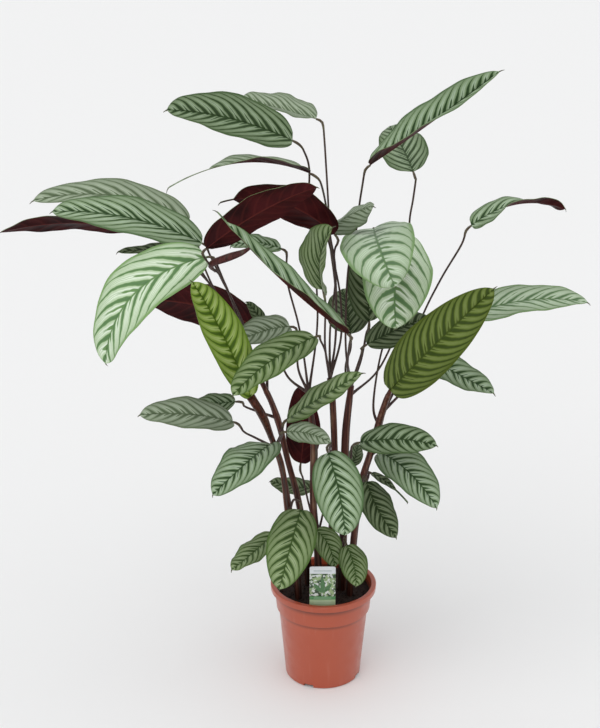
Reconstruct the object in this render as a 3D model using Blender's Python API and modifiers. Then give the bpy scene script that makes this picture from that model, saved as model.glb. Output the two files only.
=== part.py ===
"""A potted ctenanthe at its real size: a terracotta-coloured nursery pot, its soil, a plain plant
label, eight sheathed stems with their leaf stalks, and forty-seven arching leaf blades.
Units are metres and +Z is up. The origin is the middle of the pot's flat underside."""

import math
from typing import NamedTuple

import bmesh
import bpy
from mathutils import Quaternion, Vector

CM = 0.01
GAP = 0.0003

# Pot
POT_HEIGHT = 0.200
RIM_RADIUS = 0.105
RIM_DEPTH = 0.012
RIM_MOUTH_RADIUS = 0.0955
COLLAR_RADIUS = 0.0968
COLLAR_FOOT_RADIUS = 0.0932
COLLAR_BOTTOM = 0.149
SHOULDER_RADIUS = 0.0885
SHOULDER_HEIGHT = 0.146
FOOT_RADIUS = 0.0752
WALL = 0.0025
FLOOR = 0.003
POT_SIDES = 48
DRAIN_NOTCHES = 4
DRAIN_NOTCH_SIZE = (0.022, 0.020, 0.006)
DRAIN_NOTCH_START_DEG = -113.0

# Soil
SOIL_TOP = 0.182
SOIL_ROUGHNESS = 0.0022
STEM_HOLE_SIDES = 16
STEM_HOLE_GAP = 0.0004

# Plant label
LABEL_WIDTH = 0.050
LABEL_THICKNESS = 0.0012
LABEL_TOP = 0.276
LABEL_FOOT = 0.150
LABEL_PLACE = (-0.003, -0.081)
LABEL_CORNER = 0.004
CUTTER_DEPTH = 0.1

# Leaves and stems
BLADE_THICKNESS = 0.0008
CELLS_ACROSS = 4
OUTLINE_POWER = 0.52
BLADE_ROOT_HALF_WIDTH = 0.15 * CM
EDGE_WAVE = 0.0025
EDGE_WAVES = 2.5
FAR_EDGE_PHASE = 1.9
STALK_RADIUS = 0.20 * CM
PULVINUS_RADIUS = 0.25 * CM
PULVINUS_LENGTH = 1.6 * CM
PULVINUS_SEAT = 0.5 * CM
STALK_STEP = 6.0 * CM
STALK_JOINS_BELOW = 4.0 * CM
STEM_FOOT = 0.120


class Stem(NamedTuple):
    """A sheathed stem: centre points (x, y, z) and radius in centimetres, from its top down."""

    name: str
    points: list


STEMS = {
    "a": Stem("left_front_stem", [
        (-13.5, -11, 63.5, 0.95), (-11.5, -9, 59, 0.85), (-10, -7, 54, 0.6),
        (-8, -4.5, 46.5, 0.6), (-7, -4, 37.5, 0.65), (-5.5, -4, 27, 0.65), (-5, -3.7, 20, 0.65)]),
    "b": Stem("left_rear_stem", [
        (-12, 2.5, 61.5, 0.5), (-10, 3.5, 56.5, 0.6), (-8.5, 3.5, 51.5, 0.65),
        (-7, 3.5, 44.5, 0.65), (-5, 2.8, 36.5, 0.7), (-3.3, 2.3, 26, 0.7), (-3, 2.3, 20, 0.7)]),
    "c": Stem("left_middle_stem", [
        (-10, -2, 50, 0.4), (-8.5, -1.5, 46.5, 0.5), (-7, -0.5, 38, 0.6),
        (-5.5, -0.5, 26, 0.6), (-5.2, -0.7, 20, 0.6)]),
    "d": Stem("middle_left_stem", [
        (-3, 0, 60, 0.5), (-2, 0, 50, 0.7), (-2, 0, 44, 0.75), (-2, 0, 36.5, 0.75),
        (-1.2, 0, 27, 0.75), (-1, 0, 20, 0.75)]),
    "e": Stem("middle_stem", [
        (1, 0, 63, 0.6), (1.5, 0, 59, 0.65), (2, 0, 47.5, 0.7), (1.8, 0, 38, 0.7),
        (1.5, 0, 27, 0.7), (1.4, 0, 20, 0.7)]),
    "f": Stem("middle_right_stem", [
        (5, 0, 61.5, 0.6), (4.2, 0, 53.5, 0.75), (4, 0, 47, 0.8), (4, 0, 38, 0.8),
        (3.8, 0, 27, 0.8), (3.7, 0, 20, 0.8)]),
    "g": Stem("right_front_stem", [
        (11.5, -12, 65, 0.45), (11, -10, 62.5, 0.6), (10, -6, 56.5, 0.7), (8.8, -4.2, 50, 0.7),
        (7, -3.2, 42.5, 0.7), (6, -2.5, 32.5, 0.7), (5.2, -2.2, 20, 0.7)]),
    "h": Stem("right_rear_stem", [
        (11.5, 2.5, 55.5, 0.45), (10.5, 3.5, 51, 0.5), (8.5, 4.5, 43, 0.6), (7, 4.5, 33.5, 0.6),
        (6, 4.5, 25, 0.6), (5.6, 4.3, 20, 0.6)]),
}


class Leaf(NamedTuple):
    """A leaf: its midrib runs from base through middle to tip, in centimetres, its upper side
    looks along faces, and route is the stalk's way from the blade down to its stem. The blade
    turns about its midrib by twist_deg on its way to the tip, and tail is the share of its
    length that is a thin rolled end."""

    name: str
    base: tuple
    middle: tuple
    tip: tuple
    faces: tuple
    width: float
    fold_deg: float
    cells: int
    tone: str
    stem: str
    route: list
    twist_deg: float = 0.0
    tail: float = 0.0


LEAVES = [
    Leaf("top_left_leaf", (-6, -1.5, 108), (-17, -5.5, 112.5), (-27.5, -9.5, 114.5),
         (-1, -7, 7), 9.5, 16, 8, "sage", "d",
         [(-4, 0, 106), (-3, 2, 102.5), (-3, 4, 96), (-2.5, 4, 88.5), (-1.5, 4, 79), (-1.5, 2.5, 71)]),
    Leaf("top_back_leaf", (-1.7, 12.5, 109.6), (-8.9, 14.5, 111.2), (-16, 16, 113.1),
         (2.3, -2.8, 9.3), 9, 18, 6, "sage", "e",
         [(-0.1, 12, 105.8), (0.2, 10.5, 101.4), (0.6, 9, 95.1), (1, 9, 87), (2, 5, 79), (2, 2, 70)]),
    Leaf("rolled_arch_leaf", (-3, -5.5, 103), (-15, -12, 106), (-27, -17.5, 102.5),
         (0, 0, 10), 5, 24, 8, "sage", "e",
         [(-1, -4, 101), (0, 2, 96), (1, 5, 89), (2, 4, 82), (1, 2, 72)], tail=0.3),
    Leaf("red_backed_front_leaf", (-20.5, -15, 92), (-11, -17.5, 99), (-1.5, -19, 103.5),
         (-3, 9, 3), 6.8, 8, 8, "red", "b",
         [(-20, -12, 88), (-18, -8, 84), (-15, -3, 73)]),
    Leaf("red_backed_rear_leaf", (1.5, -3, 91.5), (-8.5, -5.5, 98), (-19, -7, 98),
         (1, 8.5, 5), 8.2, 8, 8, "red", "e",
         [(1.5, -3.2, 88), (2, -1, 80), (2, 0, 71)], tail=0.14),
    Leaf("long_slanting_leaf", (3.5, -17.5, 77.5), (-7.8, -20.5, 88), (-18.7, -20, 100),
         (6.7, 1.3, 7.3), 6, 37, 8, "sage", "f",
         [(4, -15, 75), (4, -8, 68)], twist_deg=-45, tail=0.1),
    Leaf("half_hidden_leaf", (-8, -5.5, 89.5), (-12.5, -7, 91), (-17, -8, 90.5),
         (0, -6, 8), 3.5, 5, 6, "sage", "d",
         [(-7, -3, 83), (-5, 0, 74), (-4, 0, 68)]),
    Leaf("far_left_upper_leaf", (-25.3, 5.5, 91.6), (-39, 7, 96.3), (-54, 3.5, 96),
         (0, -5, 8.5), 8, 10, 8, "sage", "b",
         [(-23, 5, 85), (-21, 4, 80), (-17, 2, 73)]),
    Leaf("far_left_middle_leaf", (-22, -5.5, 90.5), (-35, -7, 95.5), (-48.5, -7, 96.5),
         (0, -6, 8), 8.5, 12, 8, "sage", "b",
         [(-21, -5, 89), (-19, -4, 84), (-16, -1, 76)]),
    Leaf("far_left_red_leaf", (-32, 2, 90.5), (-46, 3.5, 92), (-59.5, 0, 91),
         (0, 7, 7), 6, 5, 8, "red", "b",
         [(-29, 7, 86), (-23, 7, 81), (-19, 5, 76), (-15, 4, 68)]),
    Leaf("dull_rolled_leaf", (-24, -1.5, 88), (-30.5, -2.5, 88.5), (-37.5, -4, 88.5),
         (0, -5, 8.5), 3, 8, 6, "dark", "b",
         [(-23, -1, 85), (-21, 0, 81), (-17, 0, 73)]),
    Leaf("pale_left_leaf", (-21, -9.5, 89), (-33.5, -15, 83.5), (-39, -13.5, 70),
         (-4, -7.5, 5), 11.5, 10, 8, "pale", "b",
         [(-19, -9, 87), (-17, -7, 81), (-15, -4, 75)]),
    Leaf("red_backed_left_leaf", (-14, 11, 70), (-24.5, 12.5, 73.5), (-36, 14.5, 74),
         (-1, 9.5, 3), 10, 5, 8, "red", "b",
         [(-12, 9, 69), (-11, 7, 64)]),
    Leaf("upright_front_leaf", (-0.5, -4, 81.5), (-1, -8, 88.5), (1, -13.5, 95.5),
         (-6, -6.5, 4), 9.5, 20, 6, "sage", "e",
         [(0, -3, 78), (0, -2, 70)]),
    Leaf("upright_centre_leaf", (0.8, 1, 91.5), (4.8, -3, 95.3), (8.3, -6, 97.3),
         (-2.3, -6.7, 7.1), 6, -30, 6, "sage", "e",
         [(0.8, 3, 88), (2, 4, 83), (3, 4, 77), (3, 2, 70)]),
    Leaf("yellow_young_leaf", (-13.5, -11, 63.56), (-18.5, -16, 78), (-23, -19, 87.5),
         (3, -9, 3), 7.5, 20, 8, "young", "a", []),
    Leaf("drooping_centre_leaf", (-2, -8.5, 74), (-10, -16.5, 72), (-16.3, -23, 68),
         (-3, -7, 6), 7.5, 10, 8, "sage", "e",
         [(-1, -7, 73), (0, -5, 70)]),
    Leaf("spotted_centre_leaf", (-6.5, -2.5, 74), (-11.5, -5.5, 74), (-17.5, -9.5, 72.5),
         (-1, -6, 8), 6.5, 10, 6, "sage", "d",
         [(-5, -1, 71), (-5, 0, 65)]),
    Leaf("narrow_centre_leaf", (-10.5, -1.5, 72), (-12.5, -1.5, 76), (-14.5, -1.5, 78.5),
         (4, -8, 4), 2.5, 10, 6, "dark", "d",
         [(-9, 0, 69), (-7, 1, 63)]),
    Leaf("pale_arching_leaf", (9, 5.5, 90.5), (9, -13.5, 91.5), (11.5, -19, 86),
         (-1.8, -7.5, 6.5), 13.2, 8, 8, "pale", "f",
         [(9.5, 10, 88), (9.5, 12.5, 82), (9.5, 12, 76.5), (8, 7, 68.5)]),
    Leaf("pale_hanging_leaf", (15, 12.5, 88), (12.6, -2.5, 83), (12.6, -8, 75),
         (1.5, -8.5, 5), 13.5, 8, 8, "pale", "h",
         [(15.5, 15, 85), (15, 14.5, 79), (14, 12.5, 72.5), (11, 8, 65), (9.5, 4, 56)]),
    Leaf("hidden_upright_leaf", (8.5, 5.5, 72.5), (8, 9, 79.5), (7, 11, 86.5),
         (-1, -9.5, 3), 7.5, 10, 6, "dark", "f",
         [(8, 6, 70), (7, 4.5, 65)]),
    Leaf("top_right_leaf", (8, 2, 103), (18.5, -2.5, 111.5), (29.5, -7, 121),
         (-5.6, -0.3, 8.3), 7.7, 38, 8, "sage", "f",
         [(6.7, 3.5, 99.1), (6.3, 5, 95.4), (5.9, 6, 90.7), (4.5, 6, 83.5), (4, 4, 76),
          (4, 1.5, 68)], twist_deg=50),
    Leaf("backward_leaf", (16.5, 11, 100), (15, 20, 103), (13, 30.5, 105.5),
         (-1, -8, 6), 9, 8, 6, "sage", "f",
         [(17, 11, 98.3), (16.7, 12, 94.5), (16.2, 12.5, 90.1), (16.5, 12, 84), (16, 10.5, 75), (11, 7, 63)]),
    Leaf("right_upper_leaf", (26, -2.5, 93), (33.5, -5.5, 97.5), (41.5, -9.5, 97.5),
         (0, -6.2, 7.8), 7, 8, 8, "sage", "h",
         [(24.5, -1, 89), (21.5, 3, 81.5), (18.5, 7, 72.5), (15.5, 7, 62)], twist_deg=-85),
    Leaf("olive_leaf", (11.5, -12, 65.1), (19, -17.5, 76), (28.5, -19, 86.5),
         (-2, -8.5, 4), 10, 10, 8, "young", "g", []),
    Leaf("far_right_leaf", (24.9, 2, 73.9), (36.6, 0, 78.2), (48, -4, 79),
         (0, -4.5, 9), 8, 8, 8, "sage", "h",
         [(22, 4, 68), (17, 4, 61)]),
    Leaf("right_low_leaf", (16.5, -1.5, 69), (24, -5.5, 66), (30.5, -11, 64),
         (1, -5.5, 8), 6.5, 8, 6, "sage", "h",
         [(15, 0, 67), (13, 0, 62)]),
    Leaf("dark_right_leaf", (8, 2.2, 69), (14, 3.8, 71.5), (20, 5.5, 73.5),
         (1, -6, 8), 6.5, 6, 6, "dark", "f",
         [(7, 1, 68), (6, 0, 65)]),
    Leaf("dark_inner_leaf", (5, 7, 69.5), (4.5, 11, 73), (3.5, 16, 76),
         (0, -9, 4), 8.5, 8, 6, "dark", "f",
         [(5, 5, 67), (4, 3, 64)]),
    Leaf("slanting_low_leaf", (-7, -7, 57.5), (-0.5, -12, 64), (6.5, -16, 70),
         (2, -6, 8), 5.5, 8, 8, "dark", "a",
         [(-8, -7, 55)]),
    Leaf("red_backed_low_leaf", (-4.5, 7, 42.5), (-4, 11, 49), (-5, 12.5, 57),
         (0, 9.5, 3), 7, 5, 6, "red", "d",
         [(-4, 7, 39), (-3, 5, 35)]),
    Leaf("small_front_leaf", (-7, -11.8, 57), (-3, -13.4, 57.3), (1, -14.7, 56),
         (0, -7.5, 6.5), 4, 6, 6, "sage", "a",
         [(-8, -9, 55)]),
    Leaf("low_left_leaf", (-17, -7, 57), (-25, -12, 60.5), (-33.5, -15, 61.5),
         (0, -6, 8), 7, 10, 8, "sage", "c",
         [(-15, -7, 55), (-13, -5, 53)]),
    Leaf("low_left_rear_leaf", (-17, 2, 57.5), (-21.5, 2, 57), (-26, 0, 57),
         (0, -6, 8), 4.5, 6, 6, "sage", "b",
         [(-15, 3, 56)]),
    Leaf("low_left_drooping_leaf", (-10, -8, 53), (-14.5, -15, 52), (-20.5, -19, 47.5),
         (-4, -6, 7), 9.3, 10, 8, "sage", "a",
         [(-9.3, -6.4, 51.5)]),
    Leaf("behind_stems_leaf", (-1.5, 11, 35), (-6.5, 14.5, 34), (-11, 16, 34.5),
         (0, -5, 8), 4.5, 5, 6, "dark", "d",
         [(0, 9, 35), (0, 5, 33)]),
    Leaf("hanging_middle_leaf", (0.5, -11, 52.5), (2.5, -17.5, 47), (3.5, -20, 40),
         (-0.5, -8.5, 5), 9, 8, 8, "sage", "e",
         [(1, -8, 53), (1, -4, 50)]),
    Leaf("dark_hanging_leaf", (8, -5.4, 44.2), (10, -9, 40), (13.5, -12, 35.5),
         (2.5, -7.5, 6), 6.5, 8, 6, "dark", "g",
         [(7.4, -4.4, 44.5)]),
    Leaf("right_flat_leaf", (6.5, -8, 53.3), (13.5, -13, 56), (20, -16, 56),
         (0, -7.5, 6.5), 6, 8, 6, "sage", "f",
         [(5, -5, 51), (5, -3, 48)]),
    Leaf("right_drooping_leaf", (10.5, -1.5, 48.5), (16, -7, 46.5), (21, -11, 41),
         (3, -7, 6), 8.5, 10, 8, "sage", "h",
         [(10, 0, 48)]),
    Leaf("thin_right_leaf", (9.5, 5.5, 41), (13, 2, 40), (16.5, 0, 37),
         (0, -5, 8.5), 1.8, 10, 6, "dark", "h",
         [(9, 5, 41)], tail=0.35),
    Leaf("small_rear_leaf", (5.5, 7, 42), (6.5, 9, 43.5), (7, 12.5, 44.5),
         (0, -9, 4), 3, 5, 6, "dark", "f",
         [(5, 6, 41)]),
    Leaf("bottom_left_leaf", (-9.5, -5.5, 33.5), (-13.5, -11, 32), (-17.5, -15, 30.5),
         (-4, -5, 7.5), 6, 8, 6, "sage", "c",
         [(-8, -4, 34)]),
    Leaf("bottom_front_leaf", (-4.5, -8, 39.5), (-6.5, -16, 35.5), (-8.5, -20, 29),
         (-1, -8.5, 5), 9, 8, 8, "sage", "a",
         [(-5, -7, 41), (-6, -5, 40)]),
    Leaf("bottom_small_leaf", (-1.5, -3.5, 33), (1, -5.5, 30.5), (2, -6.6, 26.5),
         (1, -8, 5.5), 5.2, 6, 6, "sage", "d",
         [(-2, -2.5, 33.5)]),
    Leaf("bottom_right_leaf", (4.4, -5, 30.5), (5.7, -8.5, 27.8), (6, -11, 24.8),
         (1, -8, 5.5), 5.5, 6, 6, "sage", "f",
         [(4, -4, 31.5)]),
]

# The young spike is a leaf still rolled up, beside the pale left leaf: points and radii in cm
YOUNG_SPIKE = [(-19.5, -9.6, 86.4, 0.15), (-20, -12, 88.4, 0.55), (-17, -13.5, 90, 0.7),
               (-14.6, -14, 91, 0.5), (-12.6, -14.4, 92.2, 0.1)]
YOUNG_SPIKE_STEM = "b"

TONES = {
    "sage": (0.20, 0.30, 0.17),
    "pale": (0.38, 0.52, 0.36),
    "young": (0.20, 0.27, 0.06),
    "dark": (0.09, 0.14, 0.08),
    "red": (0.10, 0.02, 0.03),
}


def clear_scene():
    for thing in list(bpy.data.objects):
        bpy.data.objects.remove(thing, do_unlink=True)


def new_collection(name, in_render=True):
    collection = bpy.data.collections.new(name)
    bpy.context.scene.collection.children.link(collection)
    collection.hide_render = not in_render
    return collection


def finish(name, color, roughness):
    """A plain Principled material."""
    material = bpy.data.materials.new(name)
    material.use_nodes = True
    shader = material.node_tree.nodes["Principled BSDF"]
    shader.inputs["Base Color"].default_value = (*color, 1)
    shader.inputs["Roughness"].default_value = roughness
    return material


def mesh_object(name, collection, points, faces, material=None):
    mesh = bpy.data.meshes.new(name)
    mesh.from_pydata([tuple(point) for point in points], [], faces)
    thing = bpy.data.objects.new(name, mesh)
    collection.objects.link(thing)
    if material:
        mesh.materials.append(material)
    return thing


def turned(name, collection, profile, sides, material=None):
    """A profile of (radius, height) points turned about the Z axis."""
    edges = [(index, index + 1) for index in range(len(profile) - 1)]
    mesh = bpy.data.meshes.new(name)
    mesh.from_pydata([(radius, 0, height) for radius, height in profile], edges, [])
    thing = bpy.data.objects.new(name, mesh)
    collection.objects.link(thing)
    screw = thing.modifiers.new("turn", "SCREW")
    screw.steps = sides
    screw.render_steps = sides
    screw.use_merge_vertices = True
    screw.merge_threshold = 0.0001
    if material:
        mesh.materials.append(material)
    return thing


def apply_modifiers(thing):
    """Keeps the evaluated mesh as the object's own."""
    graph = bpy.context.evaluated_depsgraph_get()
    made = bpy.data.meshes.new_from_object(thing.evaluated_get(graph))
    thing.modifiers.clear()
    thing.data = made


def cut(thing, cutters, solver="EXACT"):
    modifier = thing.modifiers.new("cut", "BOOLEAN")
    modifier.operation = "DIFFERENCE"
    modifier.operand_type = "COLLECTION"
    modifier.collection = cutters
    modifier.solver = solver


def box_cutter(name, collection, size, place, turn_deg=0.0):
    bpy.ops.mesh.primitive_cube_add(size=1, location=place, rotation=(0, 0, math.radians(turn_deg)))
    cutter = bpy.context.object
    cutter.name = name
    cutter.scale = size
    move_to(cutter, collection)
    return cutter


def move_to(thing, collection):
    for old in list(thing.users_collection):
        old.objects.unlink(thing)
    collection.objects.link(thing)
    thing.hide_render = True
    thing.display_type = "WIRE"


def inner_radius(height):
    """The pot's inner radius at a height below its shoulder."""
    share = height / SHOULDER_HEIGHT
    return FOOT_RADIUS + (SHOULDER_RADIUS - FOOT_RADIUS) * share - WALL


def collar_inner_radius(height):
    """The pot's inner radius at a height between its shoulder and its rim."""
    low = COLLAR_BOTTOM + WALL
    share = (height - low) / (POT_HEIGHT - RIM_DEPTH - low)
    foot = COLLAR_FOOT_RADIUS - WALL
    return foot + (RIM_MOUTH_RADIUS - WALL - foot) * share


def make_pot(collection, cutters):
    mouth = RIM_MOUTH_RADIUS
    collar_low = COLLAR_BOTTOM + WALL
    collar_high = POT_HEIGHT - RIM_DEPTH
    profile = [
        (0, FLOOR),
        (inner_radius(FLOOR), FLOOR),
        (inner_radius(SHOULDER_HEIGHT), SHOULDER_HEIGHT),
        (collar_inner_radius(collar_low), collar_low),
        (collar_inner_radius(collar_high), collar_high),
        (mouth, POT_HEIGHT - 0.001),
        (mouth + 0.001, POT_HEIGHT),
        (RIM_RADIUS - 0.0015, POT_HEIGHT),
        (RIM_RADIUS, POT_HEIGHT - 0.0015),
        (RIM_RADIUS - 0.0005, POT_HEIGHT - RIM_DEPTH),
        (RIM_RADIUS - WALL, POT_HEIGHT - RIM_DEPTH),
        (RIM_RADIUS - WALL, POT_HEIGHT - WALL),
        (COLLAR_RADIUS + 0.0012, POT_HEIGHT - WALL),
        (COLLAR_RADIUS, POT_HEIGHT - RIM_DEPTH),
        (COLLAR_FOOT_RADIUS, COLLAR_BOTTOM),
        (SHOULDER_RADIUS, SHOULDER_HEIGHT),
        (FOOT_RADIUS, 0.0015),
        (FOOT_RADIUS - 0.0015, 0),
        (0, 0),
    ]
    plastic = finish("pot_plastic", (0.46, 0.11, 0.045), 0.45)
    pot = turned("pot", collection, profile, POT_SIDES, plastic)
    for index in range(DRAIN_NOTCHES):
        turn_deg = DRAIN_NOTCH_START_DEG + index * 360 / DRAIN_NOTCHES
        turn = math.radians(turn_deg)
        place = (FOOT_RADIUS * math.cos(turn), FOOT_RADIUS * math.sin(turn), 0)
        size = (DRAIN_NOTCH_SIZE[0], DRAIN_NOTCH_SIZE[1], 2 * DRAIN_NOTCH_SIZE[2])
        box_cutter(f"drain_notch_{index + 1}", cutters, size, place, turn_deg)
    cut(pot, cutters)
    for polygon in pot.data.polygons:
        polygon.use_smooth = True
    return pot


def soil_height(x, y):
    """The crumbly top of the soil, a little higher towards the stems."""
    waves = math.sin(61 * x + 17 * y) + math.sin(83 * y - 29 * x + 1.3) + math.sin(143 * x + 97 * y)
    return SOIL_TOP + SOIL_ROUGHNESS * waves / 3 - 0.15 * (x * x + y * y)


def make_soil(collection, cutters):
    top_rings = [0.022, 0.045, 0.068]
    edge_height = SOIL_TOP - 0.006
    collar_height = COLLAR_BOTTOM + 0.004
    shoulder_height = SHOULDER_HEIGHT + 0.0005
    profile = [(0, SOIL_TOP)]
    profile += [(radius, SOIL_TOP) for radius in top_rings]
    profile += [
        (collar_inner_radius(edge_height) - GAP, edge_height),
        (collar_inner_radius(collar_height) - GAP, collar_height),
        (inner_radius(SHOULDER_HEIGHT) - GAP, shoulder_height),
        (inner_radius(FLOOR) - GAP, FLOOR + GAP),
        (0, FLOOR + GAP),
    ]
    earth = finish("soil_earth", (0.022, 0.013, 0.011), 0.95)
    soil = turned("soil", collection, profile, POT_SIDES, earth)
    apply_modifiers(soil)
    for vertex in soil.data.vertices:
        x, y, z = vertex.co
        if z > SOIL_TOP - 0.001:
            vertex.co.z = soil_height(x, y)
    for key, stem in STEMS.items():
        x, y, _, radius = (value * CM for value in stem.points[-1])
        bpy.ops.mesh.primitive_cylinder_add(
            vertices=STEM_HOLE_SIDES, radius=radius + STEM_HOLE_GAP, depth=CUTTER_DEPTH,
            location=(x, y, STEM_FOOT - GAP + CUTTER_DEPTH / 2))
        cutter = bpy.context.object
        cutter.name = f"stem_hole_{key}"
        move_to(cutter, cutters)
    x, y = LABEL_PLACE
    slot = (LABEL_WIDTH + 2 * GAP, LABEL_THICKNESS + 2 * GAP, CUTTER_DEPTH)
    box_cutter("label_slot", cutters, slot, (x, y, LABEL_FOOT - GAP + CUTTER_DEPTH / 2))
    cut(soil, cutters)
    return soil


def make_label(collection):
    """A plain card that stands in the soil, with rounded top corners."""
    x, y = LABEL_PLACE
    half = LABEL_WIDTH / 2
    outline = [(-half, LABEL_FOOT), (half, LABEL_FOOT)]
    for side, first in ((1, 0), (-1, 90)):
        for step in range(4):
            turn = math.radians(first + 30 * step)
            outline.append((side * (half - LABEL_CORNER) + LABEL_CORNER * math.cos(turn),
                            LABEL_TOP - LABEL_CORNER + LABEL_CORNER * math.sin(turn)))
    card = mesh_object(
        "plant_label", collection,
        [(x + across, y, height) for across, height in outline],
        [list(range(len(outline)))],
        finish("label_card", (0.75, 0.8, 0.74), 0.4))
    wall = card.modifiers.new("thickness", "SOLIDIFY")
    wall.thickness = LABEL_THICKNESS
    wall.offset = 0
    return card


def along(leaf, share):
    """The midrib's point and direction at a share of its length, in metres."""
    base, middle, tip = (Vector(point) * CM for point in (leaf.base, leaf.middle, leaf.tip))
    bend = 2 * middle - (base + tip) / 2
    point = (1 - share) ** 2 * base + 2 * share * (1 - share) * bend + share ** 2 * tip
    direction = (1 - share) * (bend - base) + share * (tip - bend)
    return point, direction.normalized()


def half_width(leaf, share):
    """A broad oblong outline, narrow again at its two ends and in the tail."""
    share /= 1 - leaf.tail
    if share <= 0 or share >= 1:
        return BLADE_ROOT_HALF_WIDTH
    full = leaf.width * CM / 2 * math.sin(math.pi * share ** 0.8) ** OUTLINE_POWER
    return max(full, BLADE_ROOT_HALF_WIDTH)


def blade_point(leaf, share, across):
    """A point of the blade's sheet, with across running from -1 to 1 over its width."""
    point, direction = along(leaf, share)
    faces = Vector(leaf.faces).normalized()
    normal = (faces - faces.dot(direction) * direction).normalized()
    normal.rotate(Quaternion(direction, math.radians(leaf.twist_deg) * share))
    side = direction.cross(normal)
    half = half_width(leaf, share)
    fold = math.radians(leaf.fold_deg)
    phase = 0 if across > 0 else FAR_EDGE_PHASE
    wave = EDGE_WAVE * abs(across) * math.sin(2 * math.pi * EDGE_WAVES * share + phase)
    wave *= min(1, half / (1.5 * CM))
    rise = abs(across) * half * math.sin(fold) + wave
    return point + side * (across * half * math.cos(fold)) + normal * rise


def make_blade(leaf, collection, material):
    """A sheet of triangles along the midrib, given its thickness by Solidify."""
    points = []
    for row in range(leaf.cells + 1):
        even = row / leaf.cells
        share = (even + (1 - math.cos(math.pi * even)) / 2) / 2
        for column in range(CELLS_ACROSS + 1):
            points.append(blade_point(leaf, share, 2 * column / CELLS_ACROSS - 1))
    faces = []
    wide = CELLS_ACROSS + 1
    for row in range(leaf.cells):
        for column in range(CELLS_ACROSS):
            first = row * wide + column
            corners = (first, first + 1, first + wide + 1, first + wide)
            if column < CELLS_ACROSS / 2:
                faces.append((corners[0], corners[1], corners[2]))
                faces.append((corners[0], corners[2], corners[3]))
            else:
                faces.append((corners[0], corners[1], corners[3]))
                faces.append((corners[1], corners[2], corners[3]))
    blade = mesh_object(leaf.name, collection, points, faces, material)
    wall = blade.modifiers.new("thickness", "SOLIDIFY")
    wall.thickness = BLADE_THICKNESS
    wall.offset = 0
    return blade


def smooth_path(points, spans=8):
    """Points close together on a smooth curve through the given ones."""
    whole = [2 * points[0] - points[1], *points, 2 * points[-1] - points[-2]]
    path = []
    for index in range(1, len(whole) - 2):
        before, start, end, after = whole[index - 1:index + 3]
        for step in range(spans):
            t = step / spans
            path.append(0.5 * (2 * start + (end - before) * t
                               + (2 * before - 5 * start + 4 * end - after) * t ** 2
                               + (3 * start - before - 3 * end + after) * t ** 3))
    path.append(points[-1])
    return path


def evenly(path, step):
    """The path cut into equal lengths of about a step."""
    lengths = [0.0]
    for first, second in zip(path, path[1:]):
        lengths.append(lengths[-1] + (second - first).length)
    count = max(2, round(lengths[-1] / step))
    made = []
    index = 0
    for number in range(count + 1):
        wanted = lengths[-1] * number / count
        while index < len(path) - 2 and lengths[index + 1] < wanted:
            index += 1
        span = lengths[index + 1] - lengths[index]
        made.append(path[index].lerp(path[index + 1], (wanted - lengths[index]) / span))
    return made


def tube(name, collection, points, radii, resolution):
    """A closed tube along the points, as a mesh."""
    curve = bpy.data.curves.new(name, "CURVE")
    curve.dimensions = "3D"
    curve.bevel_depth = 1.0
    curve.bevel_resolution = resolution
    curve.use_fill_caps = True
    spline = curve.splines.new("POLY")
    spline.points.add(len(points) - 1)
    for place, point, radius in zip(spline.points, points, radii):
        place.co = (*point, 1)
        place.radius = radius
    guide = bpy.data.objects.new(name, curve)
    collection.objects.link(guide)
    graph = bpy.context.evaluated_depsgraph_get()
    mesh = bpy.data.meshes.new_from_object(guide.evaluated_get(graph))
    bpy.data.objects.remove(guide, do_unlink=True)
    welded = bmesh.new()
    welded.from_mesh(mesh)
    bmesh.ops.remove_doubles(welded, verts=welded.verts, dist=0.00001)
    bmesh.ops.recalc_face_normals(welded, faces=welded.faces)
    welded.to_mesh(mesh)
    welded.free()
    thing = bpy.data.objects.new(name, mesh)
    collection.objects.link(thing)
    return thing


def stem_centres(stem):
    return [Vector(point[:3]) * CM for point in stem.points]


def nearest_on(stem, wanted):
    """The point of the stem's centre line nearest to a wanted one."""
    path = smooth_path(stem_centres(stem))
    return min(path, key=lambda point: (point - wanted).length)


def make_sheath(stem, collection):
    centres = stem_centres(stem)
    radii = [point[3] * CM for point in stem.points]
    foot = Vector((centres[-1].x, centres[-1].y, STEM_FOOT))
    return tube(stem.name, collection, [*centres, foot], [*radii, radii[-1]], 2)


def make_stalk(leaf, collection):
    """The stalk from its stem up to the blade, which it meets with a small gap."""
    base, direction = along(leaf, 0)
    end = base - direction * GAP
    route = [Vector(point) * CM for point in reversed(leaf.route)]
    seat = end - direction * PULVINUS_SEAT
    stalk_way = (route[-1] - seat).normalized()
    neck = seat + (stalk_way - direction).normalized() * (PULVINUS_LENGTH - PULVINUS_SEAT)
    root = nearest_on(STEMS[leaf.stem], route[0] - Vector((0, 0, STALK_JOINS_BELOW)))
    path = evenly(smooth_path([root, *route, neck]), STALK_STEP)
    radii = [STALK_RADIUS] * (len(path) - 1) + [PULVINUS_RADIUS, PULVINUS_RADIUS, STALK_RADIUS]
    return tube(f"{leaf.name}_stalk", collection, [*path, seat, end], radii, 1)


def join_in(stem_object, others):
    """One body from a sheath and the stalks that are sunk into it."""
    union = stem_object.modifiers.new("join", "BOOLEAN")
    union.operation = "UNION"
    union.operand_type = "COLLECTION"
    union.collection = others
    union.solver = "MANIFOLD"
    apply_modifiers(stem_object)
    for thing in list(others.objects):
        bpy.data.objects.remove(thing, do_unlink=True)


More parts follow.
